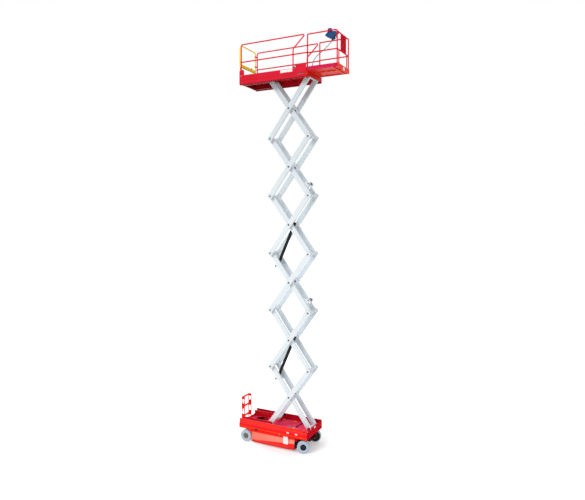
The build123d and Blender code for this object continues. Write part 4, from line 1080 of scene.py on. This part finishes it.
# --- Extension ----------------------------------------------------------------------------------------------------
# The sliding deck on hollow ribs, with its own rails. Its front panel is a sheet with a raised grid in a flat frame.
# Below it is a blank white plate. A marker is on the deck's right edge, and a small lens is on the left front post.

DECK_Z = 12.19
POST_X = 1.803
FRAME_HALF = 0.01

# Painted light on the extension deck: an orange band on its edge boards and underside for light from the floor,
# crimson-violet side faces as painted shade, and a brighter orange front face as painted highlight.
extension_light_tones = [
    ((0.84, 0.072, 0.032), bands(("Z", 12.1, 12.187, 0.003))),
    ((0.62, 0.004, 0.07), bands(("Y", 0.4905, 0.6, 0.001))),
    ((0.84, 0.03, 0.012), bands(("X", 1.8235, 1.9, 0.002))),
]
dress(enamel("extension_red", (0.66, 0.016, 0.02), (0.54, 0.01, 0.016), 0.35, tones=extension_light_tones), "extension_deck")

grid_pattern, make, given = new_pattern("welded_mesh_pattern", "Width", "Height", "Pitch", "Wire")
wire = given["Wire"]
ways = []
for across_size, run_size, quarter in (("Width", "Height", 0), ("Height", "Width", math.pi / 2)):
    count = make.math("FLOOR", given[across_size] / given["Pitch"])
    line = {"Size X": 0.0, "Size Y": given[across_size], "Vertices X": 1, "Vertices Y": count}
    strip = make.node("ShaderNodeCombineXYZ", {0: wire, 1: wire, 2: given[run_size]})
    strip = make.node("GeometryNodeMeshCube", {"Size": strip})
    spread = {"Points": make.node("GeometryNodeMeshGrid", line), "Instance": strip}
    laid = make.node("GeometryNodeInstanceOnPoints", spread)
    turn = make.node("ShaderNodeCombineXYZ", {0: quarter})
    ways.append(make.node("GeometryNodeTransform", {"Geometry": laid, "Rotation": turn}))
close_pattern(make, given, make.node("GeometryNodeJoinGeometry", {0: ways}))
low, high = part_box("front_panel")
sizes = {"Width": high.y - low.y, "Height": high.z - low.z, "Pitch": 0.0125, "Wire": 0.007}
grow("front_mesh", grid_pattern, [((low + high) / 2, (0, 0, 1))], rail_red, "extension", sizes)
x = (1.8005, 1.8055)
y_lines, z_lines = (low.y + FRAME_HALF, high.y - FRAME_HALF), (low.z + 0.008, high.z - 0.008)
border = [bar(x, (y - FRAME_HALF, y + FRAME_HALF), (low.z, high.z), 0.001) for y in y_lines]
border += [bar(x, (low.y, high.y), (z - FRAME_HALF, z + FRAME_HALF), 0.001) for z in z_lines]
fit("front_mesh_frame", "extension", "red_paint", rail_red, *border)

blank = bar((1.8275, 1.8295), (-0.05, 0.085), (12.15, 12.25), 0.0006)
fit("front_plate_blank", "extension", "white_paint", plate_white, blank)
green = moulded("yellow_green", (0.55, 0.55, 0.05), (0.4, 0.42, 0.04), 0.45)
marker = bar((1.615, 1.69), (-0.495, -0.4925), (12.2, 12.262), 0.001)
fit("extension_marker", "extension", "yellow_paint", green, marker)
violet = moulded("violet_lens", (0.1, 0.05, 0.45), (0.2, 0.12, 0.55), 0.3)
lens = turned([(0.018, 0), (0.018, 0.004), (0.008, 0.007)], (1.8215, 0.468, 12.96), (1, 0, 0), 18)
fit("post_lens", "extension", "blue_case", violet, lens)
small_collar = [(r - 0.003, h) for r, h in collar]
feet = [(collar, x, side * 0.468) for x in (0.8, POST_X) for side in (-1, 1)]
feet += [(small_collar, POST_X, y) for y in (-0.332, 0.325)]
feet = [turned(profile, (x, y, DECK_Z), (0, 0, 1), 24, True) for profile, x, y in feet]
fit("extension_rail_feet", "extension", "red_paint", rail_red, *feet)
extension_bolts = [((1.8285, y, 12.15), (1, 0, 0)) for y in (-0.42, -0.2, 0.2, 0.42)]
bolt_up("extension_bolts", "extension", extension_bolts, 0.008, 0.005)


# --- Control box --------------------------------------------------------------------------------------------------
# A dark blue moulded box hooked over the right rail. Its sloping face has a joystick in a rubber gaiter, a red stop
# button, a key switch and toggles, and a black grip loops from its lower corner.

dress(moulded("box_blue", (0.003, 0.045, 0.16), (0.008, 0.08, 0.22), 0.42), "control_box")
face_start, face_end = Vector((1.5, 0, 13.29)), Vector((1.784, 0, 13.235))
slope = (face_end - face_start).normalized()
face_out = Vector((-slope.z, 0, slope.x))


def on_face(profile, share, y, sides=24):
    """A turned part that stands on the box's sloping face, at a share of its length."""
    spot = face_start + share * (face_end - face_start)
    return turned(profile, (spot.x, y, spot.z), face_out, sides)


stick = [(0.006, 0.01), (0.007, 0.04), (0.013, 0.046), (0.016, 0.055), (0.013, 0.064), (0.006, 0.068)]
gaiter = [(0.03, -0.001), (0.03, 0.004), (0.025, 0.008), (0.026, 0.012), (0.018, 0.016), (0.018, 0.02), (0.009, 0.026)]
key = [(0.012, -0.001), (0.012, 0.004), (0.009, 0.007), (0.003, 0.007)]
tip = [(0.006, -0.001), (0.006, 0.004), (0.003, 0.006), (0.0028, 0.016), (0.0038, 0.018)]
grip = [(1.625, 13.05), (1.665, 13.005), (1.735, 13.02), (1.768, 13.08), (1.772, 13.205)]
fit(
    "joystick", "extension", "black_nylon", rubber,
    on_face(gaiter, 0.66, -0.368),
    on_face(stick, 0.66, -0.368, 18),
    drawn_bar([(x, -0.43, z) for x, z in grip], 0.01),
)
stop_red = moulded("stop_red", (0.7, 0.012, 0.012), (0.5, 0.01, 0.01), 0.3)
button = [(0.01, -0.001), (0.01, 0.008), (0.018, 0.01), (0.019, 0.016), (0.014, 0.021), (0.005, 0.022)]
fit("stop_button", "extension", "red_paint", stop_red, on_face(button, 0.3, -0.41))
toggles = [on_face(tip, 0.3, y, 12) for y in (-0.365, -0.34, -0.315)]
fit("box_switches", "extension", "chrome", zinc, on_face(key, 0.12, -0.33, 18), *toggles)
lip_teal = moulded("lip_teal", (0.05, 0.22, 0.26), (0.12, 0.34, 0.38), 0.4)
fit(
    "box_lip", "extension", "blue_case", lip_teal,
    bar((1.776, 1.789), (-0.4465, -0.2895), (13.192, 13.238), 0.003),
    bar((1.604, 1.6165), (-0.484, -0.402), (13.306, 13.346), 0.003),
)
cap = [(0.0205, 0), (0.0235, 0.002), (0.0235, 0.02), (0.02, 0.024)]
post_cap = turned(cap, (POST_X, -0.44, 13.238), (0, -1, 0), 20)
fit("rail_corner_cap", "extension", "black_nylon", case_black, post_cap)
